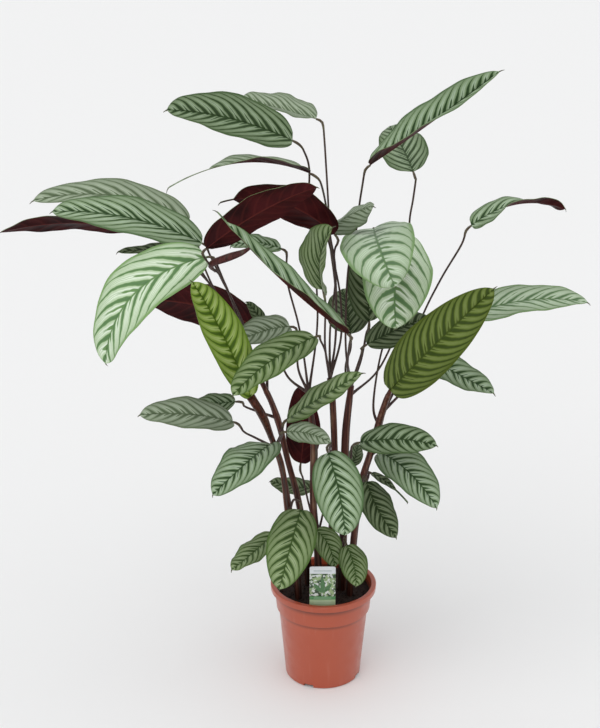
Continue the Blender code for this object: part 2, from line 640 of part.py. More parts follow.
def make_stems(collection):
    bark = finish("stem_sheath", (0.13, 0.04, 0.03), 0.5)
    for key, stem in STEMS.items():
        stalks = new_collection(f"stalks_{key}", in_render=False)
        for leaf in LEAVES:
            if leaf.stem == key and leaf.route:
                make_stalk(leaf, stalks)
        if key == YOUNG_SPIKE_STEM:
            centres = [Vector(point[:3]) * CM for point in YOUNG_SPIKE]
            tube("young_spike", stalks, centres, [point[3] * CM for point in YOUNG_SPIKE], 1)
        sheath = make_sheath(stem, collection)
        join_in(sheath, stalks)
        bpy.data.collections.remove(stalks)
        sheath.data.materials.clear()
        sheath.data.materials.append(bark)


def main():
    clear_scene()
    plant = new_collection("potted_ctenanthe")
    pot_cutters = new_collection("pot_cutters", in_render=False)
    soil_cutters = new_collection("soil_cutters", in_render=False)
    make_pot(plant, pot_cutters)
    make_soil(plant, soil_cutters)
    make_label(plant)
    make_stems(plant)
    materials = {tone: finish(f"leaf_{tone}", color, 0.4) for tone, color in TONES.items()}
    for leaf in LEAVES:
        make_blade(leaf, plant, materials[leaf.tone])


main()
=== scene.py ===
# %% [markdown]
# # A potted ctenanthe
# The plant is a nursery pot with soil and a plain label, eight red-brown stems in sheaths, thin
# leaf stalks, and forty-seven striped leaves. The imported CAD part gives every place and size, and
# this file builds finer pieces around it, one material at a time. First comes the frame itself.

import math
import random

import bpy
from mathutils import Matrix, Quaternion, Vector, noise


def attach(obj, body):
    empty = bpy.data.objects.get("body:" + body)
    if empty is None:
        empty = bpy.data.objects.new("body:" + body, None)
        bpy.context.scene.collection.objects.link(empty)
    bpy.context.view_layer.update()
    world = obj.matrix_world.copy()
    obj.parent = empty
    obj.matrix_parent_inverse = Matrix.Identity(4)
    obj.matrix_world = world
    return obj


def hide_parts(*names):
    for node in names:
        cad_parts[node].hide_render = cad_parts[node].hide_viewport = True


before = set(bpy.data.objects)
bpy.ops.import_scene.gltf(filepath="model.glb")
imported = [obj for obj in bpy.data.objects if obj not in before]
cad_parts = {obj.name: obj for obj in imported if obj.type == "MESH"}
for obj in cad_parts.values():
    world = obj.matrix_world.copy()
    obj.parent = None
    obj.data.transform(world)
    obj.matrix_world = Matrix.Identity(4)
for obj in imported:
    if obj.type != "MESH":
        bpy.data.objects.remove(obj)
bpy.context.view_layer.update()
CM = 0.01
print("CAD nodes:", len(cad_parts))

# %% [markdown]
# The photo was taken from a little above the leaves, looking down by about twenty degrees. That
# is worked out from the pot, whose rim shows as an ellipse: the flatter the ellipse, the lower
# the camera. A camera could also be placed by eye, but a measured one lets each leaf be laid
# under its own picture.

# %% Camera
PHOTO_HEIGHT = 728
FOCAL_PIXELS = 1300
TILT_DEG = 19.5
camera_data = bpy.data.cameras.new("photo_camera")
camera = bpy.data.objects.new("photo_camera", camera_data)
bpy.context.scene.collection.objects.link(camera)
camera.location = (-0.0464, -2.297, 1.472)
camera.rotation_euler = (math.radians(90 - TILT_DEG), 0, 0)
camera_data.sensor_fit = "VERTICAL"
camera_data.sensor_height = 24
camera_data.lens = camera_data.sensor_height * FOCAL_PIXELS / PHOTO_HEIGHT
bpy.context.scene.camera = camera
print("lens in mm:", round(camera_data.lens, 2))

# %% [markdown]
# The photo is a catalogue picture: a white sweep of paper, soft light from all sides and hardly
# any shadow. A plane so large that its far edge lies above the picture, and a pale world, give
# that, and the Standard view keeps the whites white. Three very wide suns do the modelling, the
# main one from the upper left and weaker ones from above and from the right, so that the leaves
# show their folds. Lamps close by would leave a bright pool on the paper, and small ones would
# throw hard shadows.

# %% Studio
FLOOR_SIZE = 240
bpy.context.scene.view_settings.view_transform = "Standard"
bpy.ops.object.select_all(action="DESELECT")
bpy.ops.mesh.primitive_plane_add(size=FLOOR_SIZE, location=(0, 0, -0.0005))
floor = bpy.context.object
floor.name = "floor"
paper = bpy.data.materials.new("paper")
paper.use_nodes = True
paper_shader = paper.node_tree.nodes["Principled BSDF"]
paper_shader.inputs["Base Color"].default_value = (0.87, 0.868, 0.86, 1)
paper_shader.inputs["Roughness"].default_value = 0.9
floor.data.materials.append(paper)

world = bpy.context.scene.world or bpy.data.worlds.new("studio")
bpy.context.scene.world = world
world.use_nodes = True
sky = world.node_tree.nodes["Background"]
sky.inputs["Color"].default_value = (0.97, 0.98, 1.0, 1)
sky.inputs["Strength"].default_value = 0.64


def soft_light(name, comes_from, strength, wide_deg):
    """A sun that is wide enough to throw only soft shadows, and lights the whole floor alike."""
    data = bpy.data.lights.new(name, "SUN")
    data.energy = strength
    data.angle = math.radians(wide_deg)
    lamp = bpy.data.objects.new(name, data)
    bpy.context.scene.collection.objects.link(lamp)
    lamp.location = comes_from
    lamp.rotation_euler = Vector(comes_from).to_track_quat("Z", "Y").to_euler()
    return lamp


soft_light("key", (-2.0, -2.6, 3.2), 1.05, 60)
soft_light("top", (0.6, 0.3, 3.4), 0.40, 90)
soft_light("right", (3.0, -1.6, 1.6), 0.35, 80)

# %% [markdown]
# Every finish below is made of shader nodes. Wiring nodes by hand in code is long, so a small
# helper holds one material and adds a node for each sum: arithmetic, a soft step between two
# values, a mix of two colours, noise, and a bump. A number that is the same all over a surface
# goes straight onto the shader instead.

# %% Material helper


class Finish:
    """One Principled material whose nodes are added a call at a time."""

    def __init__(self, name, roughness, **plain):
        self.material = bpy.data.materials.new(name)
        self.material.use_nodes = True
        self.nodes = self.material.node_tree.nodes
        self.links = self.material.node_tree.links
        self.shader = self.nodes["Principled BSDF"]
        self.shader.inputs["Roughness"].default_value = roughness
        for socket, value in plain.items():
            self.shader.inputs[socket.replace("_", " ")].default_value = value

    def feed(self, socket, value):
        if isinstance(value, bpy.types.NodeSocket):
            self.links.new(value, socket)
        else:
            socket.default_value = value

    def math(self, operation, *values, clamp=False):
        node = self.nodes.new("ShaderNodeMath")
        node.operation = operation
        node.use_clamp = clamp
        for socket, value in zip(node.inputs, values):
            self.feed(socket, value)
        return node.outputs[0]

    def step(self, value, low, high, start=0.0, end=1.0):
        """Rises smoothly from start to end while value goes from low to high."""
        node = self.nodes.new("ShaderNodeMapRange")
        node.interpolation_type = "SMOOTHSTEP"
        for socket, given in zip(node.inputs, (value, low, high, start, end)):
            self.feed(socket, given)
        return node.outputs[0]

    def mix(self, share, first, second):
        node = self.nodes.new("ShaderNodeMix")
        node.data_type = "RGBA"
        self.feed(node.inputs[0], share)
        self.feed(node.inputs[6], (*first, 1) if isinstance(first, tuple) else first)
        self.feed(node.inputs[7], (*second, 1) if isinstance(second, tuple) else second)
        return node.outputs[2]

    def place(self):
        return self.nodes.new("ShaderNodeTexCoord").outputs["Object"]

    def own_map(self, name):
        """The two numbers of one of the piece's UV maps."""
        node = self.nodes.new("ShaderNodeUVMap")
        node.uv_map = name
        parts = self.nodes.new("ShaderNodeSeparateXYZ")
        self.links.new(node.outputs[0], parts.inputs[0])
        return parts.outputs[0], parts.outputs[1]

    def stretched(self, vector, scale):
        node = self.nodes.new("ShaderNodeMapping")
        self.links.new(vector, node.inputs["Vector"])
        node.inputs["Scale"].default_value = scale
        return node.outputs[0]

    def noise(self, vector, scale, detail=2.0, roughness=0.5):
        node = self.nodes.new("ShaderNodeTexNoise")
        self.links.new(vector, node.inputs["Vector"])
        node.inputs["Scale"].default_value = scale
        node.inputs["Detail"].default_value = detail
        node.inputs["Roughness"].default_value = roughness
        return node.outputs["Fac"]

    def height(self, axis, vector):
        node = self.nodes.new("ShaderNodeSeparateXYZ")
        self.links.new(vector, node.inputs[0])
        return node.outputs["XYZ".index(axis)]

    def color(self, value):
        self.feed(self.shader.inputs["Base Color"], value)

    def roughness(self, value):
        self.feed(self.shader.inputs["Roughness"], value)

    def bump(self, height, distance, strength=1.0):
        node = self.nodes.new("ShaderNodeBump")
        node.inputs["Strength"].default_value = strength
        node.inputs["Distance"].default_value = distance
        self.links.new(height, node.inputs["Height"])
        self.links.new(node.outputs[0], self.shader.inputs["Normal"])


def select_only(thing):
    bpy.ops.object.select_all(action="DESELECT")
    thing.select_set(True)
    bpy.context.view_layer.objects.active = thing


def apply(thing, kind, **settings):
    """Adds one modifier with these settings and applies it."""
    modifier = thing.modifiers.new(kind.lower(), kind)
    for name, value in settings.items():
        setattr(modifier, name, value)
    select_only(thing)
    bpy.ops.object.modifier_apply(modifier=modifier.name)


def stands_for(piece, nodes):
    """Lets the finer piece ride with the part in the place of its CAD nodes."""
    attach(piece, "root")
    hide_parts(*nodes)


print("material helper ready")

# %% [markdown]
# ## The pot
# It is an ordinary 21 cm nursery pot, moulded from thin terracotta-coloured plastic: a tapering
# wall, a collar that lets pots nest without jamming, a turned-down rim and four notches at the
# foot for water. A profile could be spun round, but growing it ring by ring is what one would do
# by hand: a circle is extruded, scaled and raised again and again, up the outside, over the rim
# and down the inside.

# %% Ring by ring


def rings(name, profile, sides):
    """A closed turned form: one circle extruded through a profile of (radius, height)."""
    bpy.ops.object.select_all(action="DESELECT")
    radius, height = profile[0]
    bpy.ops.mesh.primitive_circle_add(vertices=sides, radius=radius, location=(0, 0, height))
    thing = bpy.context.object
    thing.name = name
    bpy.ops.object.transform_apply(location=True, rotation=True, scale=True)
    bpy.ops.object.mode_set(mode="EDIT")
    bpy.ops.mesh.select_mode(type="EDGE")
    bpy.ops.mesh.select_all(action="SELECT")
    bpy.ops.mesh.edge_face_add()
    bpy.ops.mesh.delete(type="ONLY_FACE")
    bpy.ops.mesh.select_all(action="SELECT")
    for new_radius, new_height in profile[1:]:
        bpy.ops.mesh.extrude_edges_move(
            TRANSFORM_OT_translate={"value": (0, 0, new_height - height)})
        share = new_radius / radius
        bpy.ops.transform.resize(value=(share, share, 1), center_override=(0, 0, 0))
        radius, height = new_radius, new_height
    bpy.ops.mesh.edge_face_add()
    bpy.ops.mesh.select_all(action="DESELECT")
    bpy.ops.mesh.select_non_manifold()
    bpy.ops.mesh.edge_face_add()
    bpy.ops.mesh.select_all(action="SELECT")
    bpy.ops.mesh.normals_make_consistent(inside=False)
    bpy.ops.object.mode_set(mode="OBJECT")
    return thing


# %% Pot shape
POT_HEIGHT, RIM_DEPTH, WALL = 0.200, 0.012, 0.0025
RIM_RADIUS, MOUTH_RADIUS = 0.105, 0.0955
COLLAR_RADIUS, COLLAR_FOOT_RADIUS, COLLAR_BOTTOM = 0.0968, 0.0932, 0.149
SHOULDER_RADIUS, SHOULDER_HEIGHT = 0.0885, 0.146
FOOT_RADIUS, POT_FLOOR = 0.0752, 0.003
under_rim = POT_HEIGHT - RIM_DEPTH
pot = rings("terracotta_pot", [
    (FOOT_RADIUS - 0.0015, 0),
    (FOOT_RADIUS, 0.0015),
    (SHOULDER_RADIUS, SHOULDER_HEIGHT),
    (COLLAR_FOOT_RADIUS, COLLAR_BOTTOM),
    (COLLAR_RADIUS, under_rim),
    (COLLAR_RADIUS + 0.0012, POT_HEIGHT - WALL),
    (RIM_RADIUS - WALL, POT_HEIGHT - WALL),
    (RIM_RADIUS - WALL, under_rim),
    (RIM_RADIUS - 0.0005, under_rim),
    (RIM_RADIUS, POT_HEIGHT - 0.0015),
    (RIM_RADIUS - 0.0015, POT_HEIGHT),
    (MOUTH_RADIUS + 0.001, POT_HEIGHT),
    (MOUTH_RADIUS, POT_HEIGHT - 0.001),
    (MOUTH_RADIUS - WALL, under_rim),
    (COLLAR_FOOT_RADIUS - WALL, COLLAR_BOTTOM + WALL),
    (SHOULDER_RADIUS - WALL, SHOULDER_HEIGHT),
    (FOOT_RADIUS - WALL, POT_FLOOR),
], 128)
for index in range(4):
    turn = math.radians(90 * index - 113)
    bpy.ops.object.select_all(action="DESELECT")
    bpy.ops.mesh.primitive_cube_add(
        size=1, scale=(0.022, 0.020, 0.012), rotation=(0, 0, turn),
        location=(FOOT_RADIUS * math.cos(turn), FOOT_RADIUS * math.sin(turn), 0))
    notch = bpy.context.object
    apply(pot, "BOOLEAN", operation="DIFFERENCE", object=notch, solver="EXACT")
    bpy.data.objects.remove(notch, do_unlink=True)
apply(pot, "BEVEL", width=0.0006, segments=3, limit_method="ANGLE",
      angle_limit=math.radians(32))
select_only(pot)
bpy.ops.object.shade_smooth_by_angle(angle=math.radians(32))
print("pot faces:", len(pot.data.polygons))

# %% [markdown]
# The plastic is smooth with a dull shine, a warm brick colour that is a little paler where it has
# been rubbed. Cloudy noise moves the colour by a few percent, finer noise breaks the shine, and
# watering has left faint dust that runs down in streaks. Painted shade darkens the collar up under
# the rim, and a painted shadow draws a dark line under the rim and under the collar.

# %% Pot finish
plastic = Finish("terracotta_plastic", 0.36, Coat_Weight=0.35, Coat_Roughness=0.22)
at = plastic.place()
clouds = plastic.noise(at, 14, 3)
streaks = plastic.noise(plastic.stretched(at, (60, 60, 3.5)), 1.6, 3)
dust = plastic.step(streaks, 0.55, 0.78, 0.0, 0.35)
brick = plastic.mix(clouds, (0.39, 0.060, 0.020), (0.44, 0.078, 0.030))
dusty = plastic.mix(dust, brick, (0.46, 0.13, 0.075))
up = plastic.height("Z", at)
# Painted shade and painted shadow: darker up under the rim, and a dark line under the collar's edge.
rim_painted_shade = plastic.math("MULTIPLY", plastic.step(up, 0.172, 0.1855, 0.0, 0.75),
                        plastic.step(up, 0.1872, 0.1882, 1.0, 0.0))
collar_painted_shadow = plastic.math("MULTIPLY", plastic.step(up, 0.138, 0.1445, 0.0, 0.45),
                           plastic.step(up, 0.1468, 0.1490, 1.0, 0.0))
painted_shade = plastic.math("MAXIMUM", rim_painted_shade, collar_painted_shadow)
plastic.color(plastic.mix(painted_shade, dusty, (0.075, 0.020, 0.010)))
plastic.roughness(plastic.step(plastic.noise(at, 45, 4), 0.3, 0.7, 0.30, 0.44))
plastic.bump(plastic.noise(at, 700, 2), 0.00008, 0.6)
pot.data.materials.clear()
pot.data.materials.append(plastic.material)
stands_for(pot, ["pot"])
print("pot finish on", pot.name)

# %% [markdown]
# ## The soil
# Dark potting soil fills the pot to two centimetres below the rim: crumbs and small lumps, wet
# and nearly black. The body is grown in rings like the pot, with many rings on top, whose points
# are then pushed up and down by noise. Loose crumbs lie on it. They repeat hundreds of times, so
# one small lump is modelled and copied, with few faces.

# %% Soil body
SOIL_TOP = 0.182


def soil_height(x, y):
    """The same gentle crumble as the CAD soil, with finer lumps on it."""
    waves = math.sin(61 * x + 17 * y) + math.sin(83 * y - 29 * x + 1.3) + math.sin(143 * x + 97 * y)
    coarse = 0.0022 * waves / 3 - 0.15 * (x * x + y * y)
    spot = Vector((x, y, 0.37))
    lumps = noise.fractal(spot * 150, 0.9, 2.2, 4)
    return SOIL_TOP + coarse + 0.0016 * lumps


edge_radius = COLLAR_FOOT_RADIUS - WALL + 0.0012
top_rings = [(edge_radius * share / 30, SOIL_TOP) for share in range(30, 0, -1)]
soil = rings("potting_soil", [
    (FOOT_RADIUS - WALL - 0.0004, POT_FLOOR + 0.0003),
    (SHOULDER_RADIUS - WALL - 0.0004, SHOULDER_HEIGHT),
    (edge_radius - 0.0012, COLLAR_BOTTOM + 0.006),
    (edge_radius, SOIL_TOP - 0.006),
    *top_rings], 112)
for vertex in soil.data.vertices:
    x, y, z = vertex.co
    if z > SOIL_TOP - 0.001:
        vertex.co.z = soil_height(x, y)
select_only(soil)
bpy.ops.object.shade_smooth_by_angle(angle=math.radians(60))
print("soil faces:", len(soil.data.polygons))

# %% Crumbs
CRUMBS = 420
random.seed(11)
bpy.ops.object.select_all(action="DESELECT")
bpy.ops.mesh.primitive_ico_sphere_add(subdivisions=1, radius=1)
crumb = bpy.context.object
for vertex in crumb.data.vertices:
    vertex.co *= 0.75 + 0.5 * random.random()
crumbs = [crumb]
for index in range(CRUMBS - 1):
    copy = bpy.data.objects.new(f"crumb_{index}", crumb.data.copy())
    bpy.context.scene.collection.objects.link(copy)
    crumbs.append(copy)
for copy in crumbs:
    reach = 0.087 * math.sqrt(random.random())
    turn = random.uniform(0, 2 * math.pi)
    x, y = reach * math.cos(turn), reach * math.sin(turn)
    size = 0.0009 + 0.0017 * random.random() ** 2
    copy.location = (x, y, soil_height(x, y) + 0.25 * size)
    copy.scale = (size, size * random.uniform(0.6, 1.2), size * random.uniform(0.5, 0.9))
    copy.rotation_euler = (random.uniform(-0.6, 0.6), random.uniform(-0.6, 0.6), turn)
select_only(crumb)
for copy in crumbs:
    copy.select_set(True)
bpy.ops.object.join()
crumb.name = "soil_crumbs"
bpy.ops.object.transform_apply(location=True, rotation=True, scale=True)
print("crumb faces:", len(crumb.data.polygons))

# %% [markdown]
# Wet peat is almost black with brown fibres in it. Two noises mix three browns, and the same
# noises roughen it, because flat black would look like a hole.

# %% Soil finish
earth = Finish("wet_peat", 0.9, Specular_IOR_Level=0.25)
at = earth.place()
grains = earth.noise(at, 260, 5, 0.7)
fibres = earth.step(earth.noise(earth.stretched(at, (300, 900, 300)), 1.0, 3), 0.60, 0.72)
peat = earth.mix(earth.step(grains, 0.35, 0.65), (0.008, 0.004, 0.003), (0.030, 0.015, 0.010))
earth.color(earth.mix(fibres, peat, (0.085, 0.048, 0.030)))
earth.roughness(earth.step(grains, 0.3, 0.7, 0.72, 0.98))
earth.bump(grains, 0.0012, 0.9)
for piece in (soil, crumb):
    piece.data.materials.clear()
    piece.data.materials.append(earth.material)
stands_for(soil, ["soil"])
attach(crumb, "root")
print("soil finish on", soil.name, "and", crumb.name)

# %% [markdown]
# ## The plant label
# A plastic-coated card stands in the soil at the front. The real one carries a shop's picture
# and words, which don't belong on a reusable part, so this one is plain: a white band above, a
# mottled field with a spray of simple green leaves, and two green bands with bare rules below. The
# card is a plane with its corners bevelled, made solid.

# %% Label card
LABEL_WIDTH, LABEL_THICKNESS, LABEL_TOP, LABEL_FOOT = 0.050, 0.0012, 0.276, 0.150
label_height = LABEL_TOP - LABEL_FOOT
bpy.ops.object.select_all(action="DESELECT")
bpy.ops.mesh.primitive_plane_add(
    size=1, location=(-0.003, -0.081, LABEL_FOOT + label_height / 2), rotation=(math.pi / 2, 0, 0))
label = bpy.context.object
label.name = "plain_label"
label.scale = (LABEL_WIDTH, label_height, 1)
bpy.ops.object.transform_apply(location=True, rotation=True, scale=True)
bpy.ops.object.mode_set(mode="EDIT")
bpy.ops.mesh.select_all(action="SELECT")
bpy.ops.mesh.bevel(offset=0.004, segments=6, affect="VERTICES")
bpy.ops.object.mode_set(mode="OBJECT")
apply(label, "SOLIDIFY", thickness=LABEL_THICKNESS, offset=0)
apply(label, "BEVEL", width=0.00025, segments=2, limit_method="ANGLE",
      angle_limit=math.radians(40))
select_only(label)
bpy.ops.object.shade_smooth_by_angle(angle=math.radians(30))
print("label box:", [round(value, 4) for value in label.dimensions])

# %% [markdown]
# The printing is drawn with sums on the card's own millimetres. A leaf is the place where the
# distance from its middle line is less than a bow over its length, and three of them, turned,
# make a spray. Paper fibre and a faint bend in the gloss keep the card from looking like a tile.

# %% Label print
card = Finish("label_print", 0.32, Coat_Weight=0.25)
at = card.place()
across = card.math("MULTIPLY", card.math("ADD", card.height("X", at), 0.003), 1000)
up = card.math("MULTIPLY", card.math("SUBTRACT", card.height("Z", at), LABEL_TOP - 0.05), 1000)
mottle = card.noise(at, 130, 3)
field = card.mix(card.step(mottle, 0.44, 0.55), (0.030, 0.070, 0.026), (0.30, 0.42, 0.20))
field = card.mix(card.step(card.noise(at, 170, 2), 0.52, 0.58), field, (0.66, 0.70, 0.66))


def printed_leaf(turn_deg, length, width, foot_across, foot_up):
    """1 inside a leaf that grows from its foot, all in millimetres."""
    turn = math.radians(turn_deg)
    x = card.math("SUBTRACT", across, foot_across)
    y = card.math("SUBTRACT", up, foot_up)
    along_it = card.math("ADD", card.math("MULTIPLY", x, math.sin(turn)),
                         card.math("MULTIPLY", y, math.cos(turn)))
    beside = card.math("ABSOLUTE", card.math("SUBTRACT", card.math("MULTIPLY", x, math.cos(turn)),
                                             card.math("MULTIPLY", y, math.sin(turn))))
    share = card.math("DIVIDE", along_it, length, clamp=True)
    bow = card.math("MULTIPLY", card.math("SINE", card.math("MULTIPLY", share, math.pi)), width)
    return card.step(card.math("SUBTRACT", bow, beside), 0.0, 0.7)


spray = None
for turn_deg, length, width in ((0, 36, 5.0), (-38, 30, 4.4), (40, 29, 4.4)):
    leaf_mask = printed_leaf(turn_deg, length, width, 0, -8)
    spray = leaf_mask if spray is None else card.math("MAXIMUM", spray, leaf_mask)
shown = card.mix(spray, field, (0.060, 0.17, 0.055))
shown = card.mix(card.step(up, 34.5, 35.2), shown, (0.78, 0.82, 0.84))
shown = card.mix(card.step(up, -14.6, -14.0, 1.0, 0.0), shown, (0.12, 0.33, 0.14))
shown = card.mix(card.step(up, -21.6, -21.0, 1.0, 0.0), shown, (0.50, 0.66, 0.40))
for rule in (42, 39, -18, -25, -29):
    line = card.step(card.math("ABSOLUTE", card.math("SUBTRACT", up, rule)), 0.3, 0.8, 0.55, 0.0)
    line = card.math("MULTIPLY", line, card.step(card.math("ABSOLUTE", across), 17, 17.5, 1.0, 0.0))
    shown = card.mix(line, shown, (0.10, 0.20, 0.16) if rule > 0 else (0.74, 0.84, 0.70))
card.color(shown)
card.roughness(card.step(mottle, 0.3, 0.7, 0.26, 0.40))
card.bump(card.noise(at, 60, 2), 0.0004, 0.5)
label.data.materials.clear()
label.data.materials.append(card.material)
stands_for(label, ["plant_label"])
print("label finish on", label.name)

# %% [markdown]
# ## The leaves
# Each blade is a long oval on a curved midrib. It is folded a little along the midrib, its edges
# wave, and its halves swell between midrib and edge. Forty-seven of them differ only in place,
# bend, width and tone, so they are a table and one recipe. A leaf's row holds its name, three
# points of its midrib from base to tip, the way its upper side looks, its width, its fold, the
# number of dark bands on each side, its tone, its stem, and the way of its stalk from the blade
# down. A few also turn about their midrib or end in a long thin tail. Lengths are in centimetres.
# The same formulas shaped the CAD blades, so the finer ones lie exactly in their places.

# %% Leaves at the top

def leaf(name, base, mid, tip, faces, width, fold, bands, tone, stem, route, twist=0, tail=0):
    return dict(name=name, base=base, mid=mid, tip=tip, faces=faces, width=width, fold=fold,
                bands=bands, tone=tone, stem=stem, route=route, twist=twist, tail=tail)


TOP_LEAVES = [
    leaf("top_left_leaf", (-6, -1.5, 108), (-17, -5.5, 112.5), (-27.5, -9.5, 114.5), (-1, -7, 7),
         9.5, 16, 10, "sage", "d",
         [(-4, 0, 106), (-3, 2, 102.5), (-3, 4, 96), (-2.5, 4, 88.5), (-1.5, 4, 79),
          (-1.5, 2.5, 71)]),
    leaf("top_back_leaf", (-1.7, 12.5, 109.6), (-8.9, 14.5, 111.2), (-16, 16, 113.1), (2.3, -2.8, 9.3),
         9, 18, 8, "sage", "e",
         [(-0.1, 12, 105.8), (0.2, 10.5, 101.4), (0.6, 9, 95.1), (1, 9, 87), (2, 5, 79),
          (2, 2, 70)]),
    leaf("rolled_arch_leaf", (-3, -5.5, 103), (-15, -12, 106), (-27, -17.5, 102.5), (0, 0, 10),
         5, 24, 9, "sage", "e",
         [(-1, -4, 101), (0, 2, 96), (1, 5, 89), (2, 4, 82), (1, 2, 72)], tail=0.3),
    leaf("red_backed_front_leaf", (-20.5, -15, 92), (-11, -17.5, 99), (-1.5, -19, 103.5), (-3, 9, 3),
         6.8, 8, 9, "red", "b", [(-20, -12, 88), (-18, -8, 84), (-15, -3, 73)]),
    leaf("red_backed_rear_leaf", (1.5, -3, 91.5), (-8.5, -5.5, 98), (-19, -7, 98), (1, 8.5, 5),
         8.2, 8, 9, "red", "e", [(1.5, -3.2, 88), (2, -1, 80), (2, 0, 71)], tail=0.14),
    leaf("long_slanting_leaf", (3.5, -17.5, 77.5), (-7.8, -20.5, 88), (-18.7, -20, 100), (6.7, 1.3, 7.3),
         6, 37, 7, "sage", "f", [(4, -15, 75), (4, -8, 68)], twist=-45, tail=0.1),
    leaf("half_hidden_leaf", (-8, -5.5, 89.5), (-12.5, -7, 91), (-17, -8, 90.5), (0, -6, 8),
         3.5, 5, 7, "sage", "d", [(-7, -3, 83), (-5, 0, 74), (-4, 0, 68)]),
]
print("top leaves:", len(TOP_LEAVES))

# %% Leaves on the left
LEFT_LEAVES = [
    leaf("far_left_upper_leaf", (-25.3, 5.5, 91.6), (-39, 7, 96.3), (-54, 3.5, 96), (0, -5, 8.5),
         8, 10, 9, "sage", "b", [(-23, 5, 85), (-21, 4, 80), (-17, 2, 73)]),
    leaf("far_left_middle_leaf", (-22, -5.5, 90.5), (-35, -7, 95.5), (-48.5, -7, 96.5), (0, -6, 8),
         8.5, 12, 9, "sage", "b", [(-21, -5, 89), (-19, -4, 84), (-16, -1, 76)]),
    leaf("far_left_red_leaf", (-32, 2, 90.5), (-46, 3.5, 92), (-59.5, 0, 91), (0, 7, 7),
         6, 5, 9, "red", "b", [(-29, 7, 86), (-23, 7, 81), (-19, 5, 76), (-15, 4, 68)]),
    leaf("dull_rolled_leaf", (-24, -1.5, 88), (-30.5, -2.5, 88.5), (-37.5, -4, 88.5), (0, -5, 8.5),
         3, 8, 8, "dark", "b", [(-23, -1, 85), (-21, 0, 81), (-17, 0, 73)]),
    leaf("pale_left_leaf", (-21, -9.5, 89), (-33.5, -15, 83.5), (-39, -13.5, 70), (-4, -7.5, 5),
         11.5, 10, 7, "pale", "b", [(-19, -9, 87), (-17, -7, 81), (-15, -4, 75)]),
    leaf("red_backed_left_leaf", (-14, 11, 70), (-24.5, 12.5, 73.5), (-36, 14.5, 74), (-1, 9.5, 3),
         10, 5, 9, "red", "b", [(-12, 9, 69), (-11, 7, 64)]),
]
print("left leaves:", len(LEFT_LEAVES))

# %% Leaves in the middle
MIDDLE_LEAVES = [
    leaf("upright_front_leaf", (-0.5, -4, 81.5), (-1, -8, 88.5), (1, -13.5, 95.5), (-6, -6.5, 4),
         9.5, 20, 7, "sage", "e", [(0, -3, 78), (0, -2, 70)]),
    leaf("upright_centre_leaf", (0.8, 1, 91.5), (4.8, -3, 95.3), (8.3, -6, 97.3), (-2.3, -6.7, 7.1),
         6, -30, 7, "sage", "e", [(0.8, 3, 88), (2, 4, 83), (3, 4, 77), (3, 2, 70)]),
    leaf("yellow_young_leaf", (-13.5, -11, 63.56), (-18.5, -16, 78), (-23, -19, 87.5), (3, -9, 3),
         7.5, 20, 11, "young", "a", []),
    leaf("drooping_centre_leaf", (-2, -8.5, 74), (-10, -16.5, 72), (-16.3, -23, 68), (-3, -7, 6),
         7.5, 10, 9, "sage", "e", [(-1, -7, 73), (0, -5, 70)]),
    leaf("spotted_centre_leaf", (-6.5, -2.5, 74), (-11.5, -5.5, 74), (-17.5, -9.5, 72.5), (-1, -6, 8),
         6.5, 10, 8, "sage", "d", [(-5, -1, 71), (-5, 0, 65)]),
    leaf("narrow_centre_leaf", (-10.5, -1.5, 72), (-12.5, -1.5, 76), (-14.5, -1.5, 78.5), (4, -8, 4),
         2.5, 10, 7, "dark", "d", [(-9, 0, 69), (-7, 1, 63)]),
    leaf("pale_arching_leaf", (9, 5.5, 90.5), (9, -13.5, 91.5), (11.5, -19, 86), (-1.8, -7.5, 6.5),
         13.2, 8, 7, "pale", "f", [(9.5, 10, 88), (9.5, 12.5, 82), (9.5, 12, 76.5), (8, 7, 68.5)]),
    leaf("pale_hanging_leaf", (15, 12.5, 88), (12.6, -2.5, 83), (12.6, -8, 75), (1.5, -8.5, 5),
         13.5, 8, 6, "pale", "h",
         [(15.5, 15, 85), (15, 14.5, 79), (14, 12.5, 72.5), (11, 8, 65), (9.5, 4, 56)]),
    leaf("hidden_upright_leaf", (8.5, 5.5, 72.5), (8, 9, 79.5), (7, 11, 86.5), (-1, -9.5, 3),
         7.5, 10, 8, "dark", "f", [(8, 6, 70), (7, 4.5, 65)]),
]
print("middle leaves:", len(MIDDLE_LEAVES))

